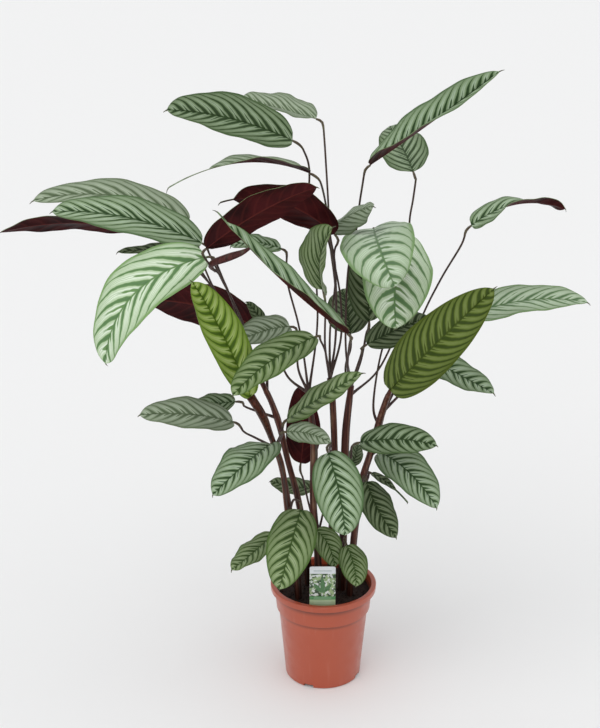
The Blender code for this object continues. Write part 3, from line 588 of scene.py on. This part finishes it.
# %% Leaves on the right
RIGHT_LEAVES = [
    leaf("top_right_leaf", (8, 2, 103), (18.5, -2.5, 111.5), (29.5, -7, 121), (-5.6, -0.3, 8.3),
         7.7, 38, 12, "sage", "f",
         [(6.7, 3.5, 99.1), (6.3, 5, 95.4), (5.9, 6, 90.7), (4.5, 6, 83.5), (4, 4, 76),
          (4, 1.5, 68)], twist=50),
    leaf("backward_leaf", (16.5, 11, 100), (15, 20, 103), (13, 30.5, 105.5), (-1, -8, 6),
         9, 8, 9, "sage", "f",
         [(17, 11, 98.3), (16.7, 12, 94.5), (16.2, 12.5, 90.1), (16.5, 12, 84), (16, 10.5, 75),
          (11, 7, 63)]),
    leaf("right_upper_leaf", (26, -2.5, 93), (33.5, -5.5, 97.5), (41.5, -9.5, 97.5), (0, -6.2, 7.8),
         7, 8, 8, "sage", "h",
         [(24.5, -1, 89), (21.5, 3, 81.5), (18.5, 7, 72.5), (15.5, 7, 62)], twist=-85),
    leaf("olive_leaf", (11.5, -12, 65.1), (19, -17.5, 76), (28.5, -19, 86.5), (-2, -8.5, 4),
         10, 10, 14, "young", "g", []),
    leaf("far_right_leaf", (24.9, 2, 73.9), (36.6, 0, 78.2), (48, -4, 79), (0, -4.5, 9),
         8, 8, 8, "sage", "h", [(22, 4, 68), (17, 4, 61)]),
    leaf("right_low_leaf", (16.5, -1.5, 69), (24, -5.5, 66), (30.5, -11, 64), (1, -5.5, 8),
         6.5, 8, 8, "sage", "h", [(15, 0, 67), (13, 0, 62)]),
    leaf("dark_right_leaf", (8, 2.2, 69), (14, 3.8, 71.5), (20, 5.5, 73.5), (1, -6, 8),
         6.5, 6, 8, "dark", "f", [(7, 1, 68), (6, 0, 65)]),
    leaf("dark_inner_leaf", (5, 7, 69.5), (4.5, 11, 73), (3.5, 16, 76), (0, -9, 4),
         8.5, 8, 7, "dark", "f", [(5, 5, 67), (4, 3, 64)]),
]
print("right leaves:", len(RIGHT_LEAVES))

# %% Low leaves
LOW_LEAVES = [
    leaf("slanting_low_leaf", (-7, -7, 57.5), (-0.5, -12, 64), (6.5, -16, 70), (2, -6, 8),
         5.5, 8, 9, "dark", "a", [(-8, -7, 55)]),
    leaf("red_backed_low_leaf", (-4.5, 7, 42.5), (-4, 11, 49), (-5, 12.5, 57), (0, 9.5, 3),
         7, 5, 8, "red", "d", [(-4, 7, 39), (-3, 5, 35)]),
    leaf("small_front_leaf", (-7, -11.8, 57), (-3, -13.4, 57.3), (1, -14.7, 56), (0, -7.5, 6.5),
         4, 6, 7, "sage", "a", [(-8, -9, 55)]),
    leaf("low_left_leaf", (-17, -7, 57), (-25, -12, 60.5), (-33.5, -15, 61.5), (0, -6, 8),
         7, 10, 8, "sage", "c", [(-15, -7, 55), (-13, -5, 53)]),
    leaf("low_left_rear_leaf", (-17, 2, 57.5), (-21.5, 2, 57), (-26, 0, 57), (0, -6, 8),
         4.5, 6, 7, "sage", "b", [(-15, 3, 56)]),
    leaf("low_left_drooping_leaf", (-10, -8, 53), (-14.5, -15, 52), (-20.5, -19, 47.5), (-4, -6, 7),
         9.3, 10, 9, "sage", "a", [(-9.3, -6.4, 51.5)]),
    leaf("behind_stems_leaf", (-1.5, 11, 35), (-6.5, 14.5, 34), (-11, 16, 34.5), (0, -5, 8),
         4.5, 5, 7, "dark", "d", [(0, 9, 35), (0, 5, 33)]),
    leaf("hanging_middle_leaf", (0.5, -11, 52.5), (2.5, -17.5, 47), (3.5, -20, 40), (-0.5, -8.5, 5),
         9, 8, 8, "sage", "e", [(1, -8, 53), (1, -4, 50)]),
    leaf("dark_hanging_leaf", (8, -5.4, 44.2), (10, -9, 40), (13.5, -12, 35.5), (2.5, -7.5, 6),
         6.5, 8, 8, "dark", "g", [(7.4, -4.4, 44.5)]),
    leaf("right_flat_leaf", (6.5, -8, 53.3), (13.5, -13, 56), (20, -16, 56), (0, -7.5, 6.5),
         6, 8, 8, "sage", "f", [(5, -5, 51), (5, -3, 48)]),
    leaf("right_drooping_leaf", (10.5, -1.5, 48.5), (16, -7, 46.5), (21, -11, 41), (3, -7, 6),
         8.5, 10, 9, "sage", "h", [(10, 0, 48)]),
    leaf("thin_right_leaf", (9.5, 5.5, 41), (13, 2, 40), (16.5, 0, 37), (0, -5, 8.5),
         1.8, 10, 7, "dark", "h", [(9, 5, 41)], tail=0.35),
    leaf("small_rear_leaf", (5.5, 7, 42), (6.5, 9, 43.5), (7, 12.5, 44.5), (0, -9, 4),
         3, 5, 7, "dark", "f", [(5, 6, 41)]),
    leaf("bottom_left_leaf", (-9.5, -5.5, 33.5), (-13.5, -11, 32), (-17.5, -15, 30.5), (-4, -5, 7.5),
         6, 8, 8, "sage", "c", [(-8, -4, 34)]),
    leaf("bottom_front_leaf", (-4.5, -8, 39.5), (-6.5, -16, 35.5), (-8.5, -20, 29), (-1, -8.5, 5),
         9, 8, 8, "sage", "a", [(-5, -7, 41), (-6, -5, 40)]),
    leaf("bottom_small_leaf", (-1.5, -3.5, 33), (1, -5.5, 30.5), (2, -6.6, 26.5), (1, -8, 5.5),
         5.2, 6, 7, "sage", "d", [(-2, -2.5, 33.5)]),
    leaf("bottom_right_leaf", (4.4, -5, 30.5), (5.7, -8.5, 27.8), (6, -11, 24.8), (1, -8, 5.5),
         5.5, 6, 7, "sage", "f", [(4, -4, 31.5)]),
]
print("low leaves:", len(LOW_LEAVES))

# %% Leaf form
LEAVES = TOP_LEAVES + LEFT_LEAVES + MIDDLE_LEAVES + RIGHT_LEAVES + LOW_LEAVES
EDGE_WAVE, EDGE_WAVES, FAR_EDGE_PHASE = 0.0025, 2.5, 1.9
OUTLINE_POWER = 0.52
ROOT_HALF_WIDTH = 0.15 * CM
SWELL = 0.07
POINT_SHARE, POINT_DROP = 0.03, 0.6 * CM


def along(leaf, share):
    """The midrib's point and direction at a share of its length, in metres."""
    base, middle, tip = (Vector(point) * CM for point in (leaf["base"], leaf["mid"], leaf["tip"]))
    bend = 2 * middle - (base + tip) / 2
    point = (1 - share) ** 2 * base + 2 * share * (1 - share) * bend + share ** 2 * tip
    direction = (1 - share) * (bend - base) + share * (tip - bend)
    return point, direction.normalized()


def half_width(leaf, share):
    """An oblong outline with a round base, and a short fine point or a long thin tail."""
    thin = 0.0003 + ROOT_HALF_WIDTH * min(1, (1 - share) / POINT_SHARE) * (share > 0.5)
    inside = share / (1 - max(leaf["tail"], POINT_SHARE))
    if inside >= 1:
        return thin
    full = leaf["width"] * CM / 2 * math.sin(math.pi * inside ** 0.8) ** OUTLINE_POWER
    return max(full, thin)


def blade_point(leaf, share, across):
    """A point of the blade, with across running from -1 to 1 over its width."""
    point, direction = along(leaf, share)
    faces = Vector(leaf["faces"]).normalized()
    normal = (faces - faces.dot(direction) * direction).normalized()
    normal.rotate(Quaternion(direction, math.radians(leaf["twist"]) * share))
    side = direction.cross(normal)
    half = half_width(leaf, share)
    fold = math.radians(leaf["fold"])
    phase = 0 if across > 0 else FAR_EDGE_PHASE
    wave = EDGE_WAVE * abs(across) * math.sin(2 * math.pi * EDGE_WAVES * share + phase)
    ripple = 0.0006 * across ** 4 * math.sin(41 * share + 3 * phase + leaf["width"])
    wave = (wave + ripple) * min(1, half / (1.5 * CM))
    swell = SWELL * half * math.sin(math.pi * abs(across)) ** 0.8
    hook = POINT_DROP * max(0, 1 - (1 - share) / POINT_SHARE) ** 2
    rise = abs(across) * half * math.sin(fold) + wave + swell - hook
    return point + side * (across * half * math.cos(fold)) + normal * rise


def midrib_length(leaf, pieces=24):
    points = [along(leaf, index / pieces)[0] for index in range(pieces + 1)]
    return sum((second - first).length for first, second in zip(points, points[1:]))


print("leaves:", len(LEAVES), "longest:",
      round(max(midrib_length(leaf) for leaf in LEAVES) / CM, 1), "cm")

# %% [markdown]
# A blade starts as a flat grid whose columns run along the leaf, because its middle column then
# lies on the midrib and the two halves can be folded cleanly. The markings follow the side veins,
# which leave the midrib at a slant and bend on until they run along the margin. So the piece gets
# a map of its own: one number counts the veins, and the other says how far out from the midrib a
# place lies. The halves are shifted against each other by part of a vein, as on a real leaf. On
# the long narrow leaves the veins sweep forward at a much smaller angle than on the broad ones.

# %% One blade
CELLS_ACROSS, CELLS_ALONG = 14, 44
BLADE_THICKNESS = 0.0007
VEIN_SLANT, VEIN_BEND = 0.95, 0.75
SWEEPING = {"pale_left_leaf": 1.5, "far_left_middle_leaf": 2.1, "far_left_upper_leaf": 2.0,
            "long_slanting_leaf": 2.8, "rolled_arch_leaf": 3.0, "upright_front_leaf": 2.0,
            "upright_centre_leaf": 1.5, "far_right_leaf": 1.7, "top_left_leaf": 1.3,
            "top_back_leaf": 1.5, "top_right_leaf": 1.2, "low_left_leaf": 1.4}
HALF_SHIFT = 0.4


def vein_number(leaf, share, across, length, right):
    """Which side vein passes here, counted from the base."""
    out = abs(across)
    slant = SWEEPING.get(leaf["name"], VEIN_SLANT)
    back = (slant * out + VEIN_BEND * out ** 4) * half_width(leaf, share)
    return (share * length - back) / length * leaf["bands"] + (HALF_SHIFT if right else 0)


def make_blade(leaf, finishes):
    bpy.ops.object.select_all(action="DESELECT")
    bpy.ops.mesh.primitive_grid_add(
        x_subdivisions=CELLS_ACROSS, y_subdivisions=CELLS_ALONG, size=2, calc_uvs=False)
    blade = bpy.context.object
    blade.name = f"{leaf['name']}_blade"
    length = midrib_length(leaf)
    spots = []
    for vertex in blade.data.vertices:
        even = (vertex.co.y + 1) / 2
        share = (even + (1 - math.cos(math.pi * even)) / 2) / 2
        spots.append((share, round(vertex.co.x, 6)))
    vein_map = blade.data.uv_layers.new(name="veins")
    for face in blade.data.polygons:
        if min(spots[index][0] for index in face.vertices) > 1 - POINT_SHARE:
            face.material_index = 3
        right = sum(spots[index][1] for index in face.vertices) > 0
        for corner in face.loop_indices:
            share, across = spots[blade.data.loops[corner].vertex_index]
            number = vein_number(leaf, share, across, length, right)
            vein_map.data[corner].uv = (number, abs(across))
    for vertex, (share, across) in zip(blade.data.vertices, spots):
        vertex.co = blade_point(leaf, share, across)
    for finish in finishes:
        blade.data.materials.append(finish.material)
    apply(blade, "SOLIDIFY", thickness=BLADE_THICKNESS, offset=0,
          material_offset=1, material_offset_rim=2)
    select_only(blade)
    bpy.ops.object.shade_smooth_by_angle(angle=math.radians(50))
    return blade


print("blade grid:", CELLS_ALONG, "by", CELLS_ACROSS)

# %% [markdown]
# The upper side is silvery sage green with dark green feather bands, short dark teeth between
# them at the midrib, a thin line down the middle of each pale stripe, and a green margin. All of
# it is drawn from the vein count: its fraction says how near the next dark band is. A little
# noise keeps the bands from being ruled lines, and fine ribs run along the veins in the colour
# and in the bump. The tones share the recipe: sage, a fresher green low on the plant, a lighter
# silver for leaves that have faced the window, a dusty one whose bands have nearly faded, two
# pale mints for the new broad leaves, the yellow and the olive green of the two youngest, and
# a dull dark green for the leaves deep inside the plant, which is painted shade.

# %% Upper side


def upper_side(name, light, silver, band, margin, band_from=0.54, taper=0.30,
               line=(0.0, 0.35), gloss=0.42):
    leaf = Finish(f"leaf_top_{name}", gloss, Specular_IOR_Level=0.22)
    at = leaf.place()
    number, out = leaf.own_map("veins")
    drift = leaf.math("MULTIPLY", leaf.math("SUBTRACT", leaf.noise(at, 26, 2), 0.5), 0.42)
    veins = leaf.math("ADD", number, drift)
    near = leaf.math("ABSOLUTE", leaf.math("MULTIPLY_ADD", leaf.math("FRACT", veins), 2.0, -1.0))
    uneven = leaf.math("MULTIPLY_ADD", leaf.noise(at, 60, 2), 0.30, band_from - 0.15)
    gap = leaf.math("SUBTRACT", near, leaf.math("MULTIPLY_ADD", out, taper, uneven))
    main_band = leaf.step(gap, -0.05, 0.06)
    reach = leaf.math("MULTIPLY_ADD", leaf.noise(at, 44, 1), 0.50, -0.02)
    tooth = leaf.math("SUBTRACT", leaf.math("MULTIPLY_ADD", out, 0.60, near), reach)
    tooth = leaf.step(tooth, -0.04, 0.05, 1.0, 0.0)
    rib = leaf.step(out, 0.015, 0.050, 1.0, 0.0)
    dark = leaf.math("MAXIMUM", leaf.math("MAXIMUM", main_band, tooth), rib)
    middle = leaf.step(near, 0.15, band_from, 1.0, 0.0)
    shine = leaf.math("MULTIPLY", middle, leaf.step(out, 0.30, 0.95, 1.0, 0.25))
    pale = leaf.mix(shine, light, silver)
    thin = leaf.math("ABSOLUTE", leaf.math("SUBTRACT", near, line[0]))
    pale = leaf.mix(leaf.step(thin, 0.03, 0.10, line[1], 0.0), pale, margin)
    ribs = leaf.math("SINE", leaf.math("MULTIPLY", veins, 62.0))
    pale = leaf.mix(leaf.step(ribs, -1.0, 1.0, 0.0, 0.14), pale, margin)
    core = leaf.step(gap, 0.02, 0.26)
    band_tone = leaf.mix(core, tuple(0.6 * a + 0.4 * b for a, b in zip(band, margin)), band)
    marked = leaf.mix(dark, pale, band_tone)
    leaf.color(leaf.mix(leaf.step(out, 0.86, 0.97, 0.0, 0.9), marked, margin))
    leaf.roughness(leaf.step(leaf.noise(at, 9, 2), 0.3, 0.7, gloss - 0.06, gloss + 0.1))
    relief = leaf.math("ADD", leaf.math("MULTIPLY", ribs, 0.22), leaf.math("MULTIPLY", near, 0.8))
    relief = leaf.math("SUBTRACT", relief, leaf.math("MULTIPLY", rib, 1.2))
    leaf.bump(relief, 0.0008, 0.9)
    return leaf


TOPS = {
    "sage": upper_side("sage", (0.17, 0.24, 0.12), (0.33, 0.42, 0.28), (0.022, 0.048, 0.012),
                       (0.065, 0.125, 0.036)),
    "green": upper_side("green", (0.20, 0.28, 0.11), (0.36, 0.45, 0.25), (0.040, 0.078, 0.016),
                        (0.085, 0.165, 0.030), 0.58),
    "silver": upper_side("silver", (0.25, 0.35, 0.19), (0.48, 0.60, 0.43), (0.027, 0.062, 0.018),
                         (0.075, 0.155, 0.048), 0.62, 0.34),
    "dusty": upper_side("dusty", (0.28, 0.35, 0.23), (0.46, 0.54, 0.40), (0.105, 0.150, 0.078),
                        (0.15, 0.21, 0.10), 0.60),
    "pale": upper_side("pale", (0.52, 0.66, 0.43), (0.86, 0.95, 0.80), (0.11, 0.22, 0.085),
                       (0.21, 0.38, 0.12), 0.62, 0.24, (0.14, 0.50)),
    "mint": upper_side("mint", (0.38, 0.48, 0.32), (0.60, 0.71, 0.55), (0.10, 0.18, 0.085),
                       (0.18, 0.31, 0.11), 0.66, 0.20, (0.14, 0.45)),
    "yellow": upper_side("yellow", (0.23, 0.34, 0.050), (0.42, 0.53, 0.18), (0.060, 0.120, 0.006),
                         (0.15, 0.26, 0.014), 0.56),
    "olive": upper_side("olive", (0.115, 0.165, 0.026), (0.18, 0.235, 0.062),
                        (0.034, 0.060, 0.003), (0.085, 0.125, 0.008), 0.50, 0.20, (0.0, 0.15)),
    # The dark tone is painted shade: a darker sage for the leaves that stand in shade deep inside.
    "dark": upper_side("dark", (0.12, 0.165, 0.075), (0.25, 0.31, 0.18),
                       (0.021, 0.040, 0.009), (0.050, 0.095, 0.024), 0.54),
}
TOPS["red"] = TOPS["sage"]
TOPS["young"] = TOPS["yellow"]
OWN_TOPS = {
    "silver": ("far_left_middle", "long_slanting", "hanging_middle", "right_drooping",
               "low_left_drooping", "top_right", "right_upper", "right_low", "half_hidden"),
    "dusty": ("top_back", "far_left_upper", "rolled_arch", "spotted_centre", "small_front",
              "low_left", "upright_centre"),
    "green": ("upright_front", "bottom_left", "bottom_small", "bottom_right", "slanting_low",
              "bottom_front", "drooping_centre"),
    "mint": ("pale_arching", "far_right"), "olive": ("olive",)}
TOP_OF = {f"{name}_leaf": TOPS[tone] for tone, names in OWN_TOPS.items() for name in names}
print("upper sides:", sorted(TOPS))

# %% [markdown]
# Underneath, the leaf is a deep wine red with a soft bloom, and the side veins show as slightly
# lighter ribs. The thin edge between the two sides is a pale green line on the real leaf.

# %% Underside and edge


def under_side(name, deep, bloom, midrib):
    under = Finish(f"leaf_under_{name}", 0.5, Specular_IOR_Level=0.10)
    at = under.place()
    number, out = under.own_map("veins")
    clouds = under.noise(at, 20, 3)
    ribs = under.math("SINE", under.math("MULTIPLY", number, 6.283))
    red = under.mix(under.step(clouds, 0.3, 0.7), deep, bloom)
    red = under.mix(under.step(ribs, 0.55, 1.0, 0.0, 0.25), red, midrib)
    line = under.step(out, 0.02, 0.06, 0.85, 0.0)
    under.color(under.mix(line, red, midrib))
    under.roughness(under.step(clouds, 0.3, 0.7, 0.44, 0.60))
    under.bump(under.math("SUBTRACT", ribs, under.math("MULTIPLY", line, -2.0)), 0.0004, 0.7)
    return under


wine = under_side("wine", (0.016, 0.0015, 0.002), (0.052, 0.005, 0.006), (0.10, 0.016, 0.013))
soft_wine = under_side("soft_wine", (0.13, 0.05, 0.045), (0.20, 0.10, 0.07), (0.22, 0.20, 0.09))
edge_line = Finish("leaf_edge", 0.45)
edge_at = edge_line.place()
edge_line.color(edge_line.mix(edge_line.noise(edge_at, 90, 2), (0.10, 0.16, 0.05),
                              (0.20, 0.26, 0.10)))
edge_line.bump(edge_line.noise(edge_at, 400, 2), 0.0002, 0.4)
dry_point = Finish("leaf_point", 0.6)
dry_at = dry_point.place()
dry_point.color(dry_point.mix(dry_point.noise(dry_at, 300, 2), (0.035, 0.022, 0.012),
                              (0.10, 0.12, 0.045)))
dry_point.bump(dry_point.noise(dry_at, 500, 2), 0.0003, 0.5)
UNDERS = {tone: wine for tone in TOPS}
UNDERS["young"] = soft_wine
blades = []
for leaf in LEAVES:
    tone = leaf["tone"]
    top = TOP_OF.get(leaf["name"], TOPS[tone])
    blade = make_blade(leaf, (top, UNDERS[tone], edge_line, dry_point, dry_point))
    stands_for(blade, [leaf["name"]])
    blades.append(blade)
print("blades:", len(blades), "faces:", sum(len(blade.data.polygons) for blade in blades))

# %% [markdown]
# ## Stems and stalks
# The stems are bundles of leaf sheaths, red-brown and slightly ribbed, a little thicker where a
# stalk leaves. Stalks are thin and dark. Just under the blade each has a small swollen joint, with
# which the plant turns its leaf to the light. Both are tubes on a smooth line: a curve with a
# round bevel, made a mesh. A stem's points are in centimetres from its top down, with its radius.

# %% Stem lines
STEMS = {
    "a": ("left_front_stem", [
        (-13.5, -11, 63.5, 0.95), (-11.5, -9, 59, 0.85), (-10, -7, 54, 0.6),
        (-8, -4.5, 46.5, 0.6), (-7, -4, 37.5, 0.65), (-5.5, -4, 27, 0.65), (-5, -3.7, 20, 0.65)]),
    "b": ("left_rear_stem", [
        (-12, 2.5, 61.5, 0.5), (-10, 3.5, 56.5, 0.6), (-8.5, 3.5, 51.5, 0.65),
        (-7, 3.5, 44.5, 0.65), (-5, 2.8, 36.5, 0.7), (-3.3, 2.3, 26, 0.7), (-3, 2.3, 20, 0.7)]),
    "c": ("left_middle_stem", [
        (-10, -2, 50, 0.4), (-8.5, -1.5, 46.5, 0.5), (-7, -0.5, 38, 0.6), (-5.5, -0.5, 26, 0.6),
        (-5.2, -0.7, 20, 0.6)]),
    "d": ("middle_left_stem", [
        (-3, 0, 60, 0.5), (-2, 0, 50, 0.7), (-2, 0, 44, 0.75), (-2, 0, 36.5, 0.75),
        (-1.2, 0, 27, 0.75), (-1, 0, 20, 0.75)]),
    "e": ("middle_stem", [
        (1, 0, 63, 0.6), (1.5, 0, 59, 0.65), (2, 0, 47.5, 0.7), (1.8, 0, 38, 0.7),
        (1.5, 0, 27, 0.7), (1.4, 0, 20, 0.7)]),
    "f": ("middle_right_stem", [
        (5, 0, 61.5, 0.6), (4.2, 0, 53.5, 0.75), (4, 0, 47, 0.8), (4, 0, 38, 0.8),
        (3.8, 0, 27, 0.8), (3.7, 0, 20, 0.8)]),
    "g": ("right_front_stem", [
        (11.5, -12, 65, 0.45), (11, -10, 62.5, 0.6), (10, -6, 56.5, 0.7), (8.8, -4.2, 50, 0.7),
        (7, -3.2, 42.5, 0.7), (6, -2.5, 32.5, 0.7), (5.2, -2.2, 20, 0.7)]),
    "h": ("right_rear_stem", [
        (11.5, 2.5, 55.5, 0.45), (10.5, 3.5, 51, 0.5), (8.5, 4.5, 43, 0.6), (7, 4.5, 33.5, 0.6),
        (6, 4.5, 25, 0.6), (5.6, 4.3, 20, 0.6)]),
}

SPIKE = [(-19.5, -9.6, 86.4, 0.15), (-20, -12, 88.4, 0.55),
         (-17, -13.5, 90, 0.7), (-14.6, -14, 91, 0.5),
         (-12.6, -14.4, 92.2, 0.1)]
SPIKE_STEM = "b"
print("stems:", len(STEMS))


# %% Smooth lines


def smooth_path(points, spans=8):
    """Points close together on a smooth curve through the given ones."""
    whole = [2 * points[0] - points[1], *points, 2 * points[-1] - points[-2]]
    path = []
    for index in range(1, len(whole) - 2):
        before, start, end, after = whole[index - 1:index + 3]
        for step in range(spans):
            t = step / spans
            path.append(0.5 * (2 * start + (end - before) * t
                               + (2 * before - 5 * start + 4 * end - after) * t ** 2
                               + (3 * start - before - 3 * end + after) * t ** 3))
    path.append(points[-1])
    return path


def evenly(path, step):
    """The path cut into equal lengths of about a step."""
    lengths = [0.0]
    for first, second in zip(path, path[1:]):
        lengths.append(lengths[-1] + (second - first).length)
    count = max(2, round(lengths[-1] / step))
    made = []
    index = 0
    for number in range(count + 1):
        wanted = lengths[-1] * number / count
        while index < len(path) - 2 and lengths[index + 1] < wanted:
            index += 1
        span = lengths[index + 1] - lengths[index]
        made.append(path[index].lerp(path[index + 1], (wanted - lengths[index]) / span))
    return made


def tube(name, points, radii, resolution, slots):
    """A closed tube whose ring-by-ring material slots are given."""
    curve = bpy.data.curves.new(name, "CURVE")
    curve.dimensions = "3D"
    curve.bevel_depth = 1.0
    curve.bevel_resolution = resolution
    curve.use_fill_caps = True
    spline = curve.splines.new("POLY")
    spline.points.add(len(points) - 1)
    for place, point, radius in zip(spline.points, points, radii):
        place.co = (*point, 1)
        place.radius = radius
    thing = bpy.data.objects.new(name, curve)
    bpy.context.scene.collection.objects.link(thing)
    select_only(thing)
    bpy.ops.object.convert(target="MESH")
    thing = bpy.context.object
    bpy.ops.object.mode_set(mode="EDIT")
    bpy.ops.mesh.select_all(action="SELECT")
    bpy.ops.mesh.remove_doubles(threshold=0.00001)
    bpy.ops.mesh.normals_make_consistent(inside=False)
    bpy.ops.object.mode_set(mode="OBJECT")
    thing.data.materials.clear()
    for finish in (sheath_skin, stalk_skin, joint_skin, spike_skin, dry_sheath_skin):
        thing.data.materials.append(finish.material)
    for face in thing.data.polygons:
        nearest = min(range(len(points)), key=lambda at: (points[at] - face.center).length)
        face.material_index = slots[nearest]
    return thing


print("path helpers ready")

# %% [markdown]
# Sheaths are wine brown with paler ribs that run up them and straw-coloured dry edges here and
# there. Stalks are purple brown, and their joints a lighter, greener brown. All of them darken
# towards the soil with painted shade, where the leaves above shade them. Noise that is stretched
# along the height makes ribs, because every stem stands nearly upright.

# %% Stem finishes


def skin(name, dark, pale, dry, gloss):
    bark = Finish(name, gloss, Specular_IOR_Level=0.25)
    at = bark.place()
    ribs = bark.noise(bark.stretched(at, (420, 420, 14)), 1.0, 3)
    patches = bark.noise(bark.stretched(at, (40, 40, 16)), 1.0, 3)
    tone = bark.mix(bark.step(ribs, 0.32, 0.68), dark, pale)
    aged = bark.mix(bark.step(patches, 0.56, 0.74, 0.0, 0.7), tone, dry)
    # Painted shade: every skin darkens towards the soil, where the leaves above shade it.
    foot = bark.step(bark.height("Z", at), 0.19, 0.36, 0.75, 0.0)
    bark.color(bark.mix(foot, aged, tuple(0.45 * value for value in dark)))
    bark.roughness(bark.step(patches, 0.3, 0.7, gloss - 0.05, gloss + 0.15))
    bark.bump(ribs, 0.0006, 0.8)
    return bark


sheath_skin = skin("stem_sheath", (0.032, 0.007, 0.004), (0.105, 0.026, 0.014),
                   (0.20, 0.10, 0.055), 0.36)
stalk_skin = skin("leaf_stalk", (0.034, 0.016, 0.014), (0.085, 0.052, 0.042),
                  (0.10, 0.085, 0.055), 0.38)
joint_skin = skin("stalk_joint", (0.075, 0.050, 0.035), (0.13, 0.11, 0.065),
                  (0.18, 0.20, 0.10), 0.45)
spike_skin = skin("rolled_young_leaf", (0.035, 0.006, 0.006), (0.095, 0.024, 0.020),
                  (0.16, 0.17, 0.12), 0.42)
dry_sheath_skin = skin("dry_sheath_edge", (0.075, 0.024, 0.014), (0.19, 0.085, 0.055),
                       (0.30, 0.18, 0.11), 0.40)
print("stem finishes: 5")

# %% [markdown]
# Every stalk starts on its stem's middle line, a little below where it first leaves it, and
# widens into the sheath there. It ends a hair's breadth from the blade. A stem isn't a round
# cane but a bundle of sheaths that clasp each other, so strands of three tones run down its sides,
# half sunk in it. All of it is then made one closed body with a union, so that no walls are left
# inside.

# %% Stems
GAP = 0.0003
STALK_RADIUS, JOINT_RADIUS = 0.19 * CM, 0.26 * CM
JOINT_LENGTH, JOINT_SEAT = 1.6 * CM, 0.5 * CM
STEM_FOOT = 0.150
STRANDS, STRAND_SHARE, CORE_SHARE = 6, 0.34, 0.88
STRAND_TONES = (0, 4, 1, 0, 4, 1)


def make_stalk(leaf, stem_line):
    base, direction = along(leaf, 0)
    end = base - direction * GAP
    seat = end - direction * JOINT_SEAT
    route = [Vector(point) * CM for point in reversed(leaf["route"])]
    stalk_way = (route[-1] - seat).normalized()
    neck = seat + (stalk_way - direction).normalized() * (JOINT_LENGTH - JOINT_SEAT)
    wanted = route[0] - Vector((0, 0, 4 * CM))
    root = min(stem_line, key=lambda point: (point - wanted).length)
    path = evenly(smooth_path([root, *route, neck, seat, end]), 0.7 * CM)
    left_cm = [(len(path) - 1 - index) * (path[1] - path[0]).length / CM
               for index in range(len(path))]
    radii = []
    for point, left in zip(path, left_cm):
        away = (point - root).length
        thick = STALK_RADIUS * (1 + 0.9 * math.exp(-away / (3 * CM)))
        bulge = math.sin(math.pi * min(1, max(0, 1 - left / 2.4))) ** 0.7
        radii.append(thick + (JOINT_RADIUS - STALK_RADIUS) * bulge)
    slots = [2 if left < 2.2 else 1 for left in left_cm]
    return tube(f"{leaf['name']}_stalk", path, radii, 3, slots), root


def make_strand(name, way, radii, number):
    """One sheath edge: a thin tube on the stem's side, turning slowly round it on the way down."""
    path, sizes = [], []
    for index, (centre, size) in enumerate(zip(way[:-3], radii)):
        turn = 2 * math.pi * number / STRANDS + 0.035 * index + len(name)
        out = (1 - STRAND_SHARE) * size
        path.append(centre + Vector((math.cos(turn), math.sin(turn), 0)) * out)
        sizes.append(size * STRAND_SHARE * min(1, 0.25 + 0.25 * index))
    return tube(name, path, sizes, 2, [STRAND_TONES[number]] * len(path))


def make_stem(key, name, points):
    line = [Vector(point[:3]) * CM for point in points]
    stem_line = smooth_path(line)
    parts = [make_stalk(leaf, stem_line) for leaf in LEAVES
             if leaf["stem"] == key and leaf["route"]]
    if key == SPIKE_STEM:
        centres = smooth_path([Vector(point[:3]) * CM for point in SPIKE], 4)
        sizes = smooth_path([Vector((point[3], 0, 0)) * CM for point in SPIKE], 4)
        spike = tube("young_spike", centres, [max(size.x, 0.0008) for size in sizes], 4,
                     [3] * len(centres))
        parts.append((spike, centres[0]))
    foot = Vector((line[-1].x, line[-1].y, STEM_FOOT))
    way = smooth_path([*line, foot], 6)
    widths = smooth_path([Vector((point[3], 0, 0)) * CM for point in (*points, points[-1])], 6)
    radii = []
    for point, width in zip(way, widths):
        near = min([(point - root).length for _, root in parts] or [1])
        radii.append(width.x * (1 + 0.12 * math.exp(-(near / (1.2 * CM)) ** 2)))
    stem = tube(f"{name}_sheaths", way, [CORE_SHARE * size for size in radii], 5, [0] * len(way))
    for number in range(STRANDS):
        parts.append((make_strand(f"{name}_strand_{number}", way, radii, number), way[0]))
    stalks = bpy.data.collections.new(f"stalks_{key}")
    bpy.context.scene.collection.children.link(stalks)
    for part, _ in parts:
        bpy.context.scene.collection.objects.unlink(part)
        stalks.objects.link(part)
    if parts:
        apply(stem, "BOOLEAN", operation="UNION", operand_type="COLLECTION",
              collection=stalks, solver="MANIFOLD")
    for part, _ in parts:
        bpy.data.objects.remove(part, do_unlink=True)
    bpy.data.collections.remove(stalks)
    select_only(stem)
    bpy.ops.object.shade_smooth_by_angle(angle=math.radians(55))
    stands_for(stem, [name])
    return stem


stems = [make_stem(key, name, points) for key, (name, points) in STEMS.items()]
print("stems:", len(stems), "faces:", sum(len(stem.data.polygons) for stem in stems))
